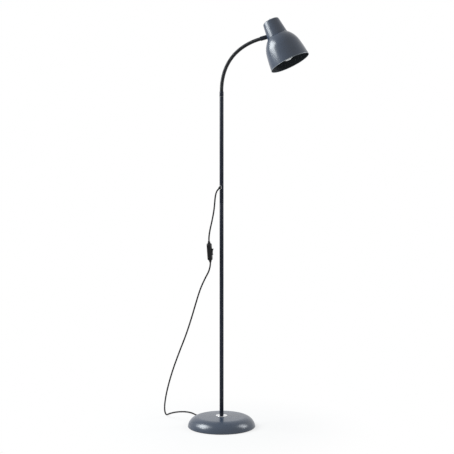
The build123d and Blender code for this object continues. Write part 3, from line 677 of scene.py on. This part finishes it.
def rib_tree(pitch):
    """Node tree for a ribbed sleeve round a centre line, its ends closed and its lower end a ball."""
    tree = bpy.data.node_groups.new("ribbed_sleeve", "GeometryNodeTree")
    tree.interface.new_socket("Centre line", in_out="INPUT", socket_type="NodeSocketGeometry")
    steps_to_rib = 12
    sharpness = 2.2             # above 1, the grooves are narrower than the ribs
    sizes = {
        "Crest radius": CREST_RADIUS, "Rib depth": RIB_DEPTH, "Rib pitch": pitch,
        "Step": pitch / steps_to_rib, "Ball radius": BALL_RADIUS, "Sleeve start": HALF_GROOVE}
    for label, value in sizes.items():
        socket = tree.interface.new_socket(label, in_out="INPUT", socket_type="NodeSocketFloat")
        socket.default_value = value
    tree.interface.new_socket("Around", in_out="INPUT", socket_type="NodeSocketInt").default_value = 32
    tree.interface.new_socket("Finish", in_out="INPUT", socket_type="NodeSocketMaterial")
    tree.interface.new_socket("Sleeve", in_out="OUTPUT", socket_type="NodeSocketGeometry")

    def fed(made, pairs):
        for socket, source in pairs:
            if isinstance(source, bpy.types.NodeSocket):
                tree.links.new(source, socket)
            else:
                socket.default_value = source
        return made

    def node(kind, **inputs):
        made = tree.nodes.new(kind)
        sockets = [made.inputs[0 if key == "first" else key] for key in inputs]
        return fed(made, zip(sockets, inputs.values()))

    def maths(operation, *values, kind="ShaderNodeMath"):
        made = tree.nodes.new(kind)
        made.operation = operation
        return fed(made, zip(made.inputs, values)).outputs[0]

    def vector_maths(operation, *values):
        return maths(operation, *values, kind="ShaderNodeVectorMath")

    def squared(value):
        return maths("POWER", value, 2.0)

    given = tree.nodes.new("NodeGroupInput").outputs
    line = node("GeometryNodeMeshToCurve", first=given["Centre line"]).outputs[0]
    spaced = tree.nodes.new("GeometryNodeResampleCurve")
    spaced.mode = "LENGTH"
    tree.links.new(line, spaced.inputs["Curve"])
    tree.links.new(given["Step"], spaced.inputs["Length"])
    kept = tree.nodes.new("GeometryNodeCaptureAttribute")
    kept.capture_items.new("VECTOR", "Centre")
    tree.links.new(spaced.outputs[0], kept.inputs["Geometry"])
    tree.links.new(tree.nodes.new("GeometryNodeInputPosition").outputs[0], kept.inputs["Centre"])
    ring = node("GeometryNodeCurvePrimitiveCircle", Resolution=given["Around"], Radius=given["Crest radius"])
    sleeve = node("GeometryNodeCurveToMesh", Curve=kept.outputs["Geometry"])
    tree.links.new(ring.outputs["Curve"], sleeve.inputs["Profile Curve"])
    sleeve.inputs["Fill Caps"].default_value = True

    along = tree.nodes.new("GeometryNodeInputNamedAttribute")
    along.data_type = "FLOAT"
    along.inputs["Name"].default_value = "along"
    along = along.outputs[0]
    here = tree.nodes.new("GeometryNodeInputPosition").outputs[0]
    outward = vector_maths("NORMALIZE", vector_maths("SUBTRACT", here, kept.outputs["Centre"]))
    turns = maths("DIVIDE", along, given["Rib pitch"])
    wave = maths("MULTIPLY_ADD", maths("COSINE", maths("MULTIPLY", turns, 2 * pi)), 0.5, 0.5)
    groove = maths("MULTIPLY", maths("POWER", wave, sharpness), given["Rib depth"])
    across = maths("SQRT", maths("SUBTRACT", squared(given["Ball radius"]), squared(along)))
    ball = maths("SUBTRACT", given["Crest radius"], across)
    on_sleeve = maths("GREATER_THAN", along, given["Sleeve start"])
    on_ball = maths("SUBTRACT", 1.0, on_sleeve)
    sunk = maths("ADD", maths("MULTIPLY", groove, on_sleeve), maths("MULTIPLY", ball, on_ball))
    offset = tree.nodes.new("ShaderNodeVectorMath")
    offset.operation = "SCALE"
    tree.links.new(outward, offset.inputs[0])
    tree.links.new(maths("MULTIPLY", sunk, -1.0), offset.inputs["Scale"])
    shaped = node("GeometryNodeSetPosition", Geometry=sleeve.outputs[0], Offset=offset.outputs[0])
    painted = node("GeometryNodeSetMaterial", Geometry=shaped.outputs[0], Material=given["Finish"])
    plain = node("GeometryNodeRealizeInstances", first=painted.outputs[0])
    result = tree.nodes.new("NodeGroupOutput")
    tree.links.new(plain.outputs[0], result.inputs["Sleeve"])
    return tree


def centre_line(name, hinge, start, end):
    """Open line of edges along the neck from start to end, with each point's length from the hinge."""
    spacing = 0.00025
    count = int((end - start) / spacing)
    places = [start + (end - start) * i / count for i in range(count + 1)]
    mesh = bpy.data.meshes.new(name)
    mesh.from_pydata([neck_point(hinge + place) for place in places], [(i, i + 1) for i in range(count)], [])
    mesh.attributes.new("along", "FLOAT", "POINT").data.foreach_set("value", places)
    obj = bpy.data.objects.new(name, mesh)
    bpy.context.scene.collection.objects.link(obj)
    return obj


def gooseneck():
    """A ribbed sleeve for each body of the neck, on the ball at its lower hinge."""
    hinges = hinge_places()
    gap = hinges[1] - hinges[0]
    tree = rib_tree(gap / RIBS_TO_HINGE)
    sockets = {s.name: s.identifier for s in tree.interface.items_tree}
    ball_in_collar, ball_in_sleeve = 0.0017, 0.0022
    above_collar = SOCKET_LIP + 0.0012
    into_ferrule = SOCKET_LIP + LINK_GAP + 0.002
    for index, hinge in enumerate(hinges):
        first, last = index == 0, index == NECK_LINKS
        low = -ball_in_collar if first else -ball_in_sleeve
        high = into_ferrule if last else gap - HALF_GROOVE
        obj = centre_line(f"neck_sleeve_{index + 1:02d}", hinge, low, high)
        ribs = obj.modifiers.new("ribs", "NODES")
        ribs.node_group = tree
        ribs[sockets["Finish"]] = FINISHES["neck_metal"]
        ribs[sockets["Sleeve start"]] = above_collar if first else HALF_GROOVE
        applied(obj)
        if last:
            finished(obj, "neck_metal", "lamp_head")
        else:
            finished(obj, "neck_metal", f"neck_{index + 1:02d}", f"neck_link_{index + 1:02d}")


# ---- head ----
def neck_end():
    """Place of the upper ferrule's top, with Z along it."""
    angle = radians(NECK_TURN)
    hinge = neck_point(hinge_places()[-1])
    return place_of(hinge, (0, 0, -1), (sin(angle), 0, cos(angle)))


def shade_place():
    """The shade's plane: its origin at the cap's top, and Z along the axis to the mouth."""
    tilt = radians(SHADE_TILT)
    axis = Vector((sin(tilt), 0, -cos(tilt)))
    back = Vector((-cos(tilt), 0, -sin(tilt)))
    end = neck_end() @ Vector((0, 0, SOCKET_LIP + LINK_GAP + UPPER_FERRULE_LENGTH))
    side = CAP_TOP_RADIUS + NECK_ENTRY * tan(radians(CAP_TAPER))
    return place_of(end - axis * NECK_ENTRY - back * side, -back, axis)


def upper_ferrule():
    """Turned sleeve that holds the neck's end against the cap."""
    low = SOCKET_LIP + LINK_GAP
    high = low + UPPER_FERRULE_LENGTH + 0.0008
    r = UPPER_FERRULE_RADIUS
    outline = [
        (0.0055, low + 0.003), (0.0064, low + 0.003), (0.0065, low + 0.0002), (r - 0.0009, low),
        (r - 0.0004, low + 0.0002), (r - 0.0001, low + 0.0006), (r, low + 0.0011),
        (r, high), (0.0055, high),
    ]
    finished(lathe("upper_collar", outline, neck_end(), 64), "dark_paint", "lamp_head", "upper_ferrule")


def cap_radius(depth):
    """Outer radius of the tapered cap at this depth below its top."""
    return CAP_TOP_RADIUS + depth * tan(radians(CAP_TAPER))


def shade_cap(shade):
    """Rounded cap that holds the lampholder, with its knob nut."""
    def side(wall):
        corner = CAP_CORNER - wall
        lean = radians(CAP_TAPER)
        shift = wall / cos(lean)
        # The corner's centre is one corner radius from the top and from the side.
        depth = wall + corner
        centre = (cap_radius(depth) - shift - corner / cos(lean), depth)
        points = [(centre[0] * i / 6, wall) for i in range(7)]
        points += arc(centre, corner, -90, -CAP_TAPER, 14)[1:]
        return points + [(cap_radius(CAP_LENGTH) - shift, CAP_LENGTH)]
    outer, inner = side(0), side(CAP_WALL)
    foot = 0.0007
    outer[-1:] = arc((outer[-1][0] - 0.0001, CAP_LENGTH - foot), foot, -75, 90, 8)
    obj = lathe("rounded_cap", outer + inner[::-1], shade, 128)
    finished(obj, "satin_paint", "lamp_head", "shade_cap")
    knob = arc((0, -0.0113), 0.0027, -90, 44, 14)[1:]
    nut = [
        (0, -0.014), *knob, (0.0019, -0.0092), (0.0019, -0.0032), (0.0021, -0.003), (0.0032, -0.003),
        (0.0036, -0.0028), (0.0042, -0.0022), (0.0044, -0.0018), (0.0044, -0.0002), (0.0042, 0), (0, 0),
    ]
    finished(lathe("knob_nut", nut, shade, 32), "chrome", "lamp_head", "cap_finial")


def bell_wall(inset, length):
    """Points of the bell's wall from its collar to its rim, drawn in by an inset."""
    shoulder, turn = BELL_SHOULDER[0] - inset, BELL_SHOULDER[1]
    here = Vector((BELL_START_RADIUS - inset * 0.4, CAP_LENGTH + inset))

    def run(start, heading, radius, turned, steps):
        points = []
        for i in range(steps + 1):
            part = turned * i / steps
            middle = radians(heading - part / 2)
            chord = 2 * radius * sin(radians(part / 2))
            points.append((start[0] + chord * sin(middle), start[1] + chord * cos(middle)))
        return points
    upper = run(here, BELL_START_ANGLE, shoulder, turn, 24)
    heading = BELL_START_ANGLE - turn
    knee = upper[-1]
    lean = sin(radians(heading)) - (length - knee[1]) / BELL_SKIRT_RADIUS
    rest = heading - asin(lean) * 180 / pi
    return upper + run(knee, heading, BELL_SKIRT_RADIUS, rest, 24)[1:]


def shade_bell(shade):
    """Spun bell with its inward collar, wall and rolled rim; its inside is painted darker as shadow, and its
    rim paler as a highlight.
    """
    wall_end = SHADE_LENGTH - 0.0004
    shadowed_to = SHADE_LENGTH - 0.0006
    rim_highlight_from = SHADE_LENGTH - 0.0013
    outer = bell_wall(0, wall_end)
    inner = bell_wall(BELL_WALL, wall_end)
    rim = (outer[-1][0] - BELL_WALL / 2, SHADE_LENGTH - 0.0002)
    bead = arc(rim, RIM_BEAD, -75, 255, 14)
    hole = HOLDER_RADIUS + 0.0003
    flat = hole + 0.004
    start = outer[0]
    roll = [(start[0] - 0.0008, start[1] + 0.0001), (start[0] - 0.0003, start[1] + 0.00005)]
    outline = [(hole, CAP_LENGTH), (flat, CAP_LENGTH), *roll, *outer[:-1], *bead, *inner[::-1][1:]]
    outline += [(flat, CAP_LENGTH + BELL_WALL), (hole, CAP_LENGTH + BELL_WALL)]
    obj = lathe("spun_bell", outline, shade, 160)
    obj.data.materials.append(FINISHES["satin_paint"])
    obj.data.materials.append(INSIDE_SHADOW_PAINT)
    obj.data.materials.append(RIM_HIGHLIGHT)
    back = shade.inverted()
    turn = back.to_3x3()
    for face in obj.data.polygons:
        middle, normal = back @ face.center, turn @ face.normal
        outward = Vector((middle.x, middle.y, 0)).normalized()
        inside = outward.dot(normal) < 0 and middle.z < shadowed_to
        # Inner faces take the darker paint, a painted shadow.
        if inside and Vector((middle.x, middle.y)).length > hole + 0.001:
            face.material_index = 1
        # The rolled rim's outer faces take the paler paint, a painted highlight.
        elif not inside and middle.z > rim_highlight_from:
            face.material_index = 2
    finished(obj, "satin_paint", "lamp_head", "shade_bell")


def holder_skirt(shade):
    """Black skirt of the lampholder under the bell, with the rings of its screw thread."""
    under = CAP_LENGTH + BELL_WALL
    r, bore, start, end = HOLDER_RADIUS, 0.0146, 0.0421, 0.075
    skirt = [(bore, start), (r, start), (r, under)]
    for index in range(4):
        low = under + 0.0064 + 0.0014 * index
        skirt += [(r, low), (r - 0.0005, low + 0.0005), (r - 0.0005, low + 0.0008), (r, low + 0.0012)]
    skirt += [(r, end - 0.001), (r - 0.0003, end - 0.0003), (r - 0.001, end), (bore, end)]
    finished(lathe("holder_skirt_turned", skirt, shade, 96), "black_moulding", "lamp_head", "holder_skirt")


def frosted_bulb(shade):
    """Bulb: a neck that widens by a cubic, upright at the cap, into the ball."""
    centre = BULB_TIP - BULB_RADIUS
    tangent = radians(30)
    low = (0.0126, 0.0805)
    side = (BULB_RADIUS * cos(tangent), centre - BULB_RADIUS * sin(tangent))
    slope = tan(tangent)
    h = side[1] - low[1]
    glass = [(0, low[1])]
    for i in range(24):
        t = i / 24
        radius = (
            low[0] * (2 * t ** 3 - 3 * t ** 2 + 1)
            + side[0] * (3 * t ** 2 - 2 * t ** 3)
            + slope * h * (t ** 3 - t ** 2))
        glass.append((radius, low[1] + h * t))
    glass += arc((0, centre), BULB_RADIUS, -30, 90, 40)[:-1] + [(0, BULB_TIP)]
    finished(lathe("frosted_bulb", glass, shade, 96), "frosted_glass", "lamp_head", "bulb_glass")


# ---- cord, switch and plug ----
def spline(name, points):
    """Smooth round cord on control points, in metres."""
    curve = bpy.data.curves.new(name, "CURVE")
    curve.dimensions = "3D"
    line = curve.splines.new("NURBS")
    line.points.add(len(points) - 1)
    for control, point in zip(line.points, points):
        control.co = (*point, 1)
    line.order_u = 3
    line.use_endpoint_u = True
    line.resolution_u = 10
    curve.bevel_depth = CORD_RADIUS
    curve.bevel_resolution = 6
    curve.use_fill_caps = True
    curve.materials.append(FINISHES["cord_sheath"])
    obj = bpy.data.objects.new(name, curve)
    bpy.context.scene.collection.objects.link(obj)
    return obj


def curve_length(obj):
    """Length of a cord's own centre line."""
    bare = obj.copy()
    bare.data = obj.data.copy()
    bare.data.bevel_depth = 0
    bpy.context.scene.collection.objects.link(bare)
    graph = bpy.context.evaluated_depsgraph_get()
    mesh = bpy.data.meshes.new_from_object(bare.evaluated_get(graph))
    points = [vertex.co for vertex in mesh.vertices]
    total = sum((points[a] - points[b]).length for a, b in (edge.vertices for edge in mesh.edges))
    data = bare.data
    bpy.data.objects.remove(bare)
    bpy.data.curves.remove(data)
    bpy.data.meshes.remove(mesh)
    return total


def switch_place():
    """Plane at the switch's middle: Z up along it, X towards the rocker."""
    up = (SWITCH_TOP - SWITCH_BOTTOM).normalized()
    return place_of((SWITCH_TOP + SWITCH_BOTTOM) / 2, Vector((0, 1, 0)).cross(up), up)


def coil_points():
    """Control points of the coil: the lower layer winds in, half a turn climbs, the upper winds out."""
    x, start_y = COIL_CENTRE[0], COIL_CENTRE[1] - COIL_RADIUS
    height = CORD_RADIUS / MM + COIL_LIFT
    step = COIL_PITCH / 2
    climb = COIL_RADIUS - 3 * step
    steps = 8
    spread = 1 / cos(pi / steps / 2)
    points = []
    radii = (COIL_RADIUS, climb + 2 * step, climb + step, climb, climb + step, climb + 2 * step)
    for index, radius in enumerate(radii):
        side = -1 if index % 2 == 0 else 1
        centre_y = start_y - side * radius
        lift = COIL_PITCH if index == 3 else 0.0
        for i in range(steps):
            part = (i + 0.5) / steps
            points.append((
                x - side * radius * spread * sin(pi * part),
                centre_y + side * radius * spread * cos(pi * part),
                height + lift * part))
        start_y = centre_y - side * radius
        height += lift
    return points, Vector((x, start_y, height))


def scaled(route):
    """A route in millimetres, as points in metres."""
    return [Vector(point) * MM for point in route]


def cords():
    """Both hanging stretches, the switch on them, the coil and the plug."""
    switch = switch_place()
    up = switch.to_3x3() @ Vector((0, 0, 1))
    mouth = exit_point(GROMMET_MOUTH)
    upper = spline("cord_to_switch", [mouth, *scaled(UPPER_ROUTE), SWITCH_TOP + up * 0.015, SWITCH_TOP])
    turns, after = coil_points()
    level = CORD_RADIUS / MM + COIL_LIFT
    lead_in = [
        Vector((COIL_CENTRE[0] - before, COIL_CENTRE[1] - COIL_RADIUS, level)) for before in LEAD_IN]
    aside = Vector((cos(radians(TAIL_TURN)), sin(radians(TAIL_TURN)), 0))
    level_run, slope, into_plug = TAIL_RUNS
    over = after + Vector((level_run, 0, 0))
    down = over + aside * slope
    down.z = PLUG_THICKNESS / MM / 2
    last = down + aside * into_plug
    tail = [after + Vector((TAIL_START, 0, 0)), over, down, last]
    lower = spline("cord_to_plug", [
        SWITCH_BOTTOM, SWITCH_BOTTOM - up * 0.014, *scaled(LOWER_ROUTE), *scaled(lead_in),
        *scaled(turns), *scaled(tail)])
    plug_parts = plug(last * MM, aside)
    case = switch_case(switch)
    band = tie()
    for obj, nodes, start, far_end, lay, parts in (
        (upper, ["cord_upper"], mouth, "fitting", "hanging", case),
        (lower, ["cord_lower", "cord_coil"], SWITCH_BOTTOM, "plug", "loose", [*plug_parts, band]),
    ):
        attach(obj, "stand")
        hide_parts(*nodes)
        curve_length(obj)


def rounded_outline(width, height, corner, steps=6):
    """Closed rounded rectangle, its points going round from its right side."""
    points = []
    for turn, (sx, sy) in enumerate(((1, 1), (-1, 1), (-1, -1), (1, -1))):
        for i in range(steps + 1):
            angle = radians(90 * turn + 90 * i / steps)
            points.append((
                sx * (width / 2 - corner) + corner * cos(angle),
                sy * (height / 2 - corner) + corner * sin(angle)))
    return points


def rounded_half(half, length, corner, height):
    """Half width at a height of a block whose ends are rounded by a corner."""
    over = abs(height) - (length / 2 - corner)
    if over <= 0:
        return half
    return half - corner + sqrt(max(corner ** 2 - over ** 2, 0))


def switch_shell(name, side, place):
    """One half of the switch's case, on the rocker's side (1) or the other (-1)."""
    seam = 0.00015
    end_corner, face_corner, edge = 0.011, 0.005, 0.0048
    heights = [SWITCH_LENGTH / 2 * sin(pi / 2 * i / 20) for i in range(-20, 21)]
    sections = []
    for height in heights:
        wide = rounded_half(SWITCH_WIDTH / 2, SWITCH_LENGTH, end_corner, height)
        deep = rounded_half(SWITCH_DEPTH / 2, SWITCH_LENGTH, face_corner, height)
        corner = min(edge, deep * 0.9, wide * 0.9)
        outline = rounded_outline(2 * deep, 2 * wide, corner, 8)
        half = [(x, y) for x, y in outline if x > 0]
        half.sort(key=lambda p: atan2(p[1], p[0]))
        ends = [(seam, half[0][1]), *half, (seam, half[-1][1])]
        sections.append([(side * x, y, height) for x, y in ends])
    obj = loft(name, sections, place)
    return bevelled(obj, 0.0004, 2, 60)


def switch_case(place):
    """Inline switch: two shells, cord reliefs, rocker, pin and screws."""
    front = switch_shell("switch_front_shell", 1, place)
    window_width, window_length, window_corner = 0.0124, 0.0244, 0.0012
    window_floor, window_top = SWITCH_DEPTH / 2 - 0.0058, SWITCH_DEPTH / 2 + 0.003
    cutter = loft("window", [
        [(x, y, z) for y, z in rounded_outline(window_width, window_length, window_corner, 4)]
        for x in (window_floor, window_top)
    ], place)
    cut = front.modifiers.new("window", "BOOLEAN")
    cut.operation = "DIFFERENCE"
    cut.solver = "EXACT"
    cut.object = cutter
    applied(front)
    bpy.data.objects.remove(cutter)
    rear = switch_shell("switch_rear_shell", -1, place)
    finished(front, "black_moulding", "stand", "switch_front")
    finished(rear, "black_moulding", "stand", "switch_rear")
    reliefs = []
    root, tip = 0.0054, 0.0098
    for name, end in (("upper", 1), ("lower", -1)):
        outline = [(CORD_BORE, 0), (root, 0), (root, 0.0026)]
        for ring in range(3):
            low = 0.0032 + 0.0022 * ring
            wide = 0.0050 - 0.0004 * ring
            outline += [
                (wide - 0.0005, low), (wide, low + 0.0004),
                (wide - 0.0001, low + 0.0014), (wide - 0.0006, low + 0.0018)]
        outline += [(0.0034, tip), (CORD_BORE, tip)]
        turn = place @ Matrix.Translation((0, 0, end * (SWITCH_LENGTH / 2 - 0.0025)))
        if end < 0:
            turn = turn @ Matrix.Rotation(pi, 4, "X")
        reliefs.append(finished(lathe(f"switch_relief_{name}", outline, turn, 40), "black_moulding", "stand"))
    rocker = switch_rocker(place)
    return [front, rear, *reliefs, rocker,
            frame["nodes"]["switch_pin"], frame["nodes"]["switch_screws"]]


def switch_rocker(place):
    """Dished rocker, resting pressed at its upper end, with grip lines."""
    pin_x = SWITCH_DEPTH / 2 - 0.0032
    half, wide = 0.0114, 0.0118
    dish_radius, dish_centre = 0.03, 0.0365
    grip_depth, grip_pitch, grip_from, grip_to = 0.00035, 0.0022, 0.004, 0.0105
    outline = []
    for i in range(25):
        height = half - 2 * half * i / 24
        dish = dish_centre - sqrt(dish_radius ** 2 - height ** 2)
        gripped = grip_from < abs(height) < grip_to
        groove = grip_depth * max(0.0, cos(2 * pi * height / grip_pitch)) if gripped else 0.0
        outline.append((dish - 0.0002 - groove, height))
    outline += [(0.0018, -half), (-0.0012, -0.006), (-0.0012, 0.006), (0.0018, half)]
    sections = [[(x, y, z) for x, z in outline] for y in (-wide / 2, wide / 2)]
    turn = place @ Matrix.Translation((pin_x, 0, 0)) @ Matrix.Rotation(radians(ROCKER_TILT), 4, "Y")
    obj = bevelled(loft("rocker_key", sections, turn), 0.0003, 2, 50)
    return finished(obj, "black_moulding", "rocker", "switch_rocker")


def plug(start, heading):
    """Flat two-pin plug lying on the floor, its ringed relief towards the cord."""
    place = place_of(start, (heading.y, -heading.x, 0), heading)
    relief_length = 0.024
    neck_width, body_width, neck_thickness = 0.0155, 0.032, 0.0124
    pin_radius, pin_straight, pin_offset = 0.002, 0.0187, 0.0093
    relief = [(CORD_BORE, 0.0), (0.0039, 0.0)]
    for index in range(4):
        low, wide = 0.004 + 0.0046 * index, 0.0039 + 0.00033 * index
        relief += [
            (wide, low), (wide - 0.0007, low + 0.0003),
            (wide - 0.0007, low + 0.0014), (wide + 0.0001, low + 0.0017)]
    relief += [(0.0056, relief_length), (CORD_BORE, relief_length)]
    tail = lathe("plug_relief", relief, place, 48)
    sections = []
    for i in range(19):
        part = i / 18
        depth = relief_length + PLUG_LENGTH * part
        grow = min(part / 0.42, 1)
        grow = grow * grow * (3 - 2 * grow)
        width = neck_width + (body_width - neck_width) * grow
        thick = neck_thickness + (PLUG_THICKNESS - neck_thickness) * grow
        outline = rounded_outline(width, thick, 0.0038 + 0.002 * grow, 6)
        sections.append([(x, y, depth) for x, y in outline])
    body = bevelled(loft("plug_case", sections, place), 0.0008, 3, 50)
    pins = []
    low = relief_length + PLUG_LENGTH - 0.0005
    tip = arc((0.0011, low + pin_straight), 0.0009, 0, 90, 5)[1:]
    pin = [(0, low), (pin_radius, low), (pin_radius, low + pin_straight), *tip, (0, low + 0.0196)]
    for name, side in (("left", -1), ("right", 1)):
        turn = place @ Matrix.Translation((side * pin_offset, 0, 0))
        pins.append(finished(lathe(f"plug_pin_{name}", pin, turn, 32), "chrome", "stand"))
    finished(tail, "black_moulding", "stand")
    finished(body, "black_moulding", "stand", "plug_body")
    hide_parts("plug_pins")
    return [tail, body, *pins]


def tie():
    """Soft band round the coil's strands."""
    low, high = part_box("cord_tie")
    middle = (low + high) / 2
    size = high - low
    rings = []
    for across, grow in ((-0.5, -0.0002), (-0.42, 0), (0.42, 0), (0.5, -0.0002)):
        outline = rounded_outline(size.x + 2 * grow, size.z + 2 * grow, 0.003, 5)
        rings.append([(x, size.y * across, z) for x, z in outline])
    for across in (0.5, 0, -0.5):
        outline = rounded_outline(size.x - 2 * TIE_WALL, size.z - 2 * TIE_WALL, 0.0024, 5)
        rings.append([(x, size.y * across, z) for x, z in outline])
    work = bmesh.new()
    loops = [[work.verts.new(point) for point in ring] for ring in rings]
    for here, after in zip(loops, loops[1:] + loops[:1]):
        for i in range(len(here)):
            j = (i + 1) % len(here)
            work.faces.new((here[i], here[j], after[j], after[i]))
    work.transform(Matrix.Translation(middle))
    return finished(object_of("cord_band", mesh_of("cord_band", work)), "black_moulding", "stand", "cord_tie")


# ---- everything else keeps its CAD shape ----
def dress_frame():
    """Give each CAD node its slot's finish."""
    slots = {}
    for part in frame["record"]["subparts"]:
        slots[part["node"]] = part["material_slot"]
    for name, obj in frame["nodes"].items():
        material = FINISHES.get(slots.get(name), FINISHES["black_moulding"])
        for slot in obj.material_slots:
            slot.material = material
        if not obj.material_slots:
            obj.data.materials.append(material)


# ---- studio ----
def floor():
    """Wide pale floor that shows white to the camera and keeps a soft shadow."""
    mesh = bpy.data.meshes.new("studio_floor")
    work = bmesh.new()
    bmesh.ops.create_grid(work, x_segments=1, y_segments=1, size=30)
    work.transform(Matrix.Translation((0, 0, -0.0004)))
    work.to_mesh(mesh)
    work.free()
    obj = bpy.data.objects.new("studio_floor", mesh)
    bpy.context.scene.collection.objects.link(obj)
    material = bpy.data.materials.new("pale_floor")
    material.use_nodes = True
    tree = material.node_tree
    tree.nodes.clear()
    seen = seen_rays(tree)
    paint = tree.nodes.new("ShaderNodeBsdfDiffuse")
    paint.inputs["Color"].default_value = (0.72, 0.72, 0.72, 1)
    glow = tree.nodes.new("ShaderNodeEmission")
    share = tree.nodes.new("ShaderNodeMath")
    share.operation = "MULTIPLY"
    tree.links.new(seen, share.inputs[0])
    tree.links.new(far_share(tree), share.inputs[1])
    mix = tree.nodes.new("ShaderNodeMixShader")
    tree.links.new(share.outputs[0], mix.inputs["Fac"])
    tree.links.new(paint.outputs[0], mix.inputs[1])
    tree.links.new(glow.outputs[0], mix.inputs[2])
    end = tree.nodes.new("ShaderNodeOutputMaterial")
    tree.links.new(mix.outputs[0], end.inputs["Surface"])
    mesh.materials.append(material)


def far_share(tree):
    """The floor's own light: part of it near the base, all of it far away."""
    place = tree.nodes.new("ShaderNodeTexCoord").outputs["Object"]
    reach = tree.nodes.new("ShaderNodeVectorMath")
    reach.operation = "LENGTH"
    tree.links.new(place, reach.inputs[0])
    spread = tree.nodes.new("ShaderNodeMapRange")
    spread.interpolation_type = "SMOOTHSTEP"
    for socket, value in (("From Min", 0.12), ("From Max", 0.6), ("To Min", 0.74), ("To Max", 1.0)):
        spread.inputs[socket].default_value = value
    tree.links.new(reach.outputs["Value"], spread.inputs["Value"])
    return spread.outputs["Result"]


def seen_rays(tree):
    """1 for rays from the camera, from gloss and through glass, else 0."""
    rays = tree.nodes.new("ShaderNodeLightPath")
    total = rays.outputs["Is Camera Ray"]
    for name in ("Is Glossy Ray", "Is Transmission Ray"):
        add = tree.nodes.new("ShaderNodeMath")
        add.operation = "MAXIMUM"
        tree.links.new(total, add.inputs[0])
        tree.links.new(rays.outputs[name], add.inputs[1])
        total = add.outputs[0]
    return total


def sky():
    """White to the eye, and a plain soft light on the object."""
    world = bpy.data.worlds.new("studio")
    bpy.context.scene.world = world
    world.use_nodes = True
    tree = world.node_tree
    tree.nodes.clear()
    light = tree.nodes.new("ShaderNodeBackground")
    light.inputs["Strength"].default_value = 0.32
    white = tree.nodes.new("ShaderNodeBackground")
    white.inputs["Strength"].default_value = 1.0
    for shader in (light, white):
        shader.inputs["Color"].default_value = (1, 1, 1, 1)
    mix = tree.nodes.new("ShaderNodeMixShader")
    tree.links.new(seen_rays(tree), mix.inputs["Fac"])
    tree.links.new(light.outputs[0], mix.inputs[1])
    tree.links.new(white.outputs[0], mix.inputs[2])
    end = tree.nodes.new("ShaderNodeOutputWorld")
    tree.links.new(mix.outputs[0], end.inputs["Surface"])


def soft_box(name, place, aim, width, height, power, colour):
    """Rectangular studio light."""
    light = bpy.data.lights.new(name, "AREA")
    light.shape = "RECTANGLE"
    light.size, light.size_y = width, height
    light.energy = power
    light.color = colour
    obj = bpy.data.objects.new(name, light)
    way = Vector(aim) - Vector(place)
    obj.matrix_world = Matrix.Translation(place) @ way.to_track_quat("-Z", "Y").to_matrix().to_4x4()
    bpy.context.scene.collection.objects.link(obj)


def camera():
    """The photograph's view."""
    lens = bpy.data.cameras.new("photo_view")
    lens.sensor_width = SENSOR
    lens.sensor_height = SENSOR
    lens.sensor_fit = "HORIZONTAL"
    lens.lens = FOCAL_PIXELS / PHOTO_PIXELS * SENSOR
    obj = bpy.data.objects.new("photo_view", lens)
    obj.matrix_world = Matrix.Translation(CAMERA_PLACE) @ Matrix.Rotation(
        radians(CAMERA_TURN), 4, "Z") @ Matrix.Rotation(radians(90), 4, "X")
    bpy.context.scene.collection.objects.link(obj)
    bpy.context.scene.camera = obj


camera()
dress_frame()
cords()
base()
pole()
grommet()
gooseneck()
upper_ferrule()
SHADE = shade_place()
shade_cap(SHADE)
shade_bell(SHADE)
holder_skirt(SHADE)
frosted_bulb(SHADE)
floor()
sky()
soft_box("key_left", place=(-2.15, -0.45, 2.2), aim=(0.05, 0, 0.8), width=1.7, height=1.5,
         power=112, colour=(0.93, 0.98, 1.0))
soft_box("fill_right", place=(2.13, 0.64, 1.75), aim=(0.05, 0, 0.7), width=0.9, height=1.3,
         power=30, colour=(0.93, 0.97, 1.0))
bpy.context.scene.view_settings.view_transform = "Standard"
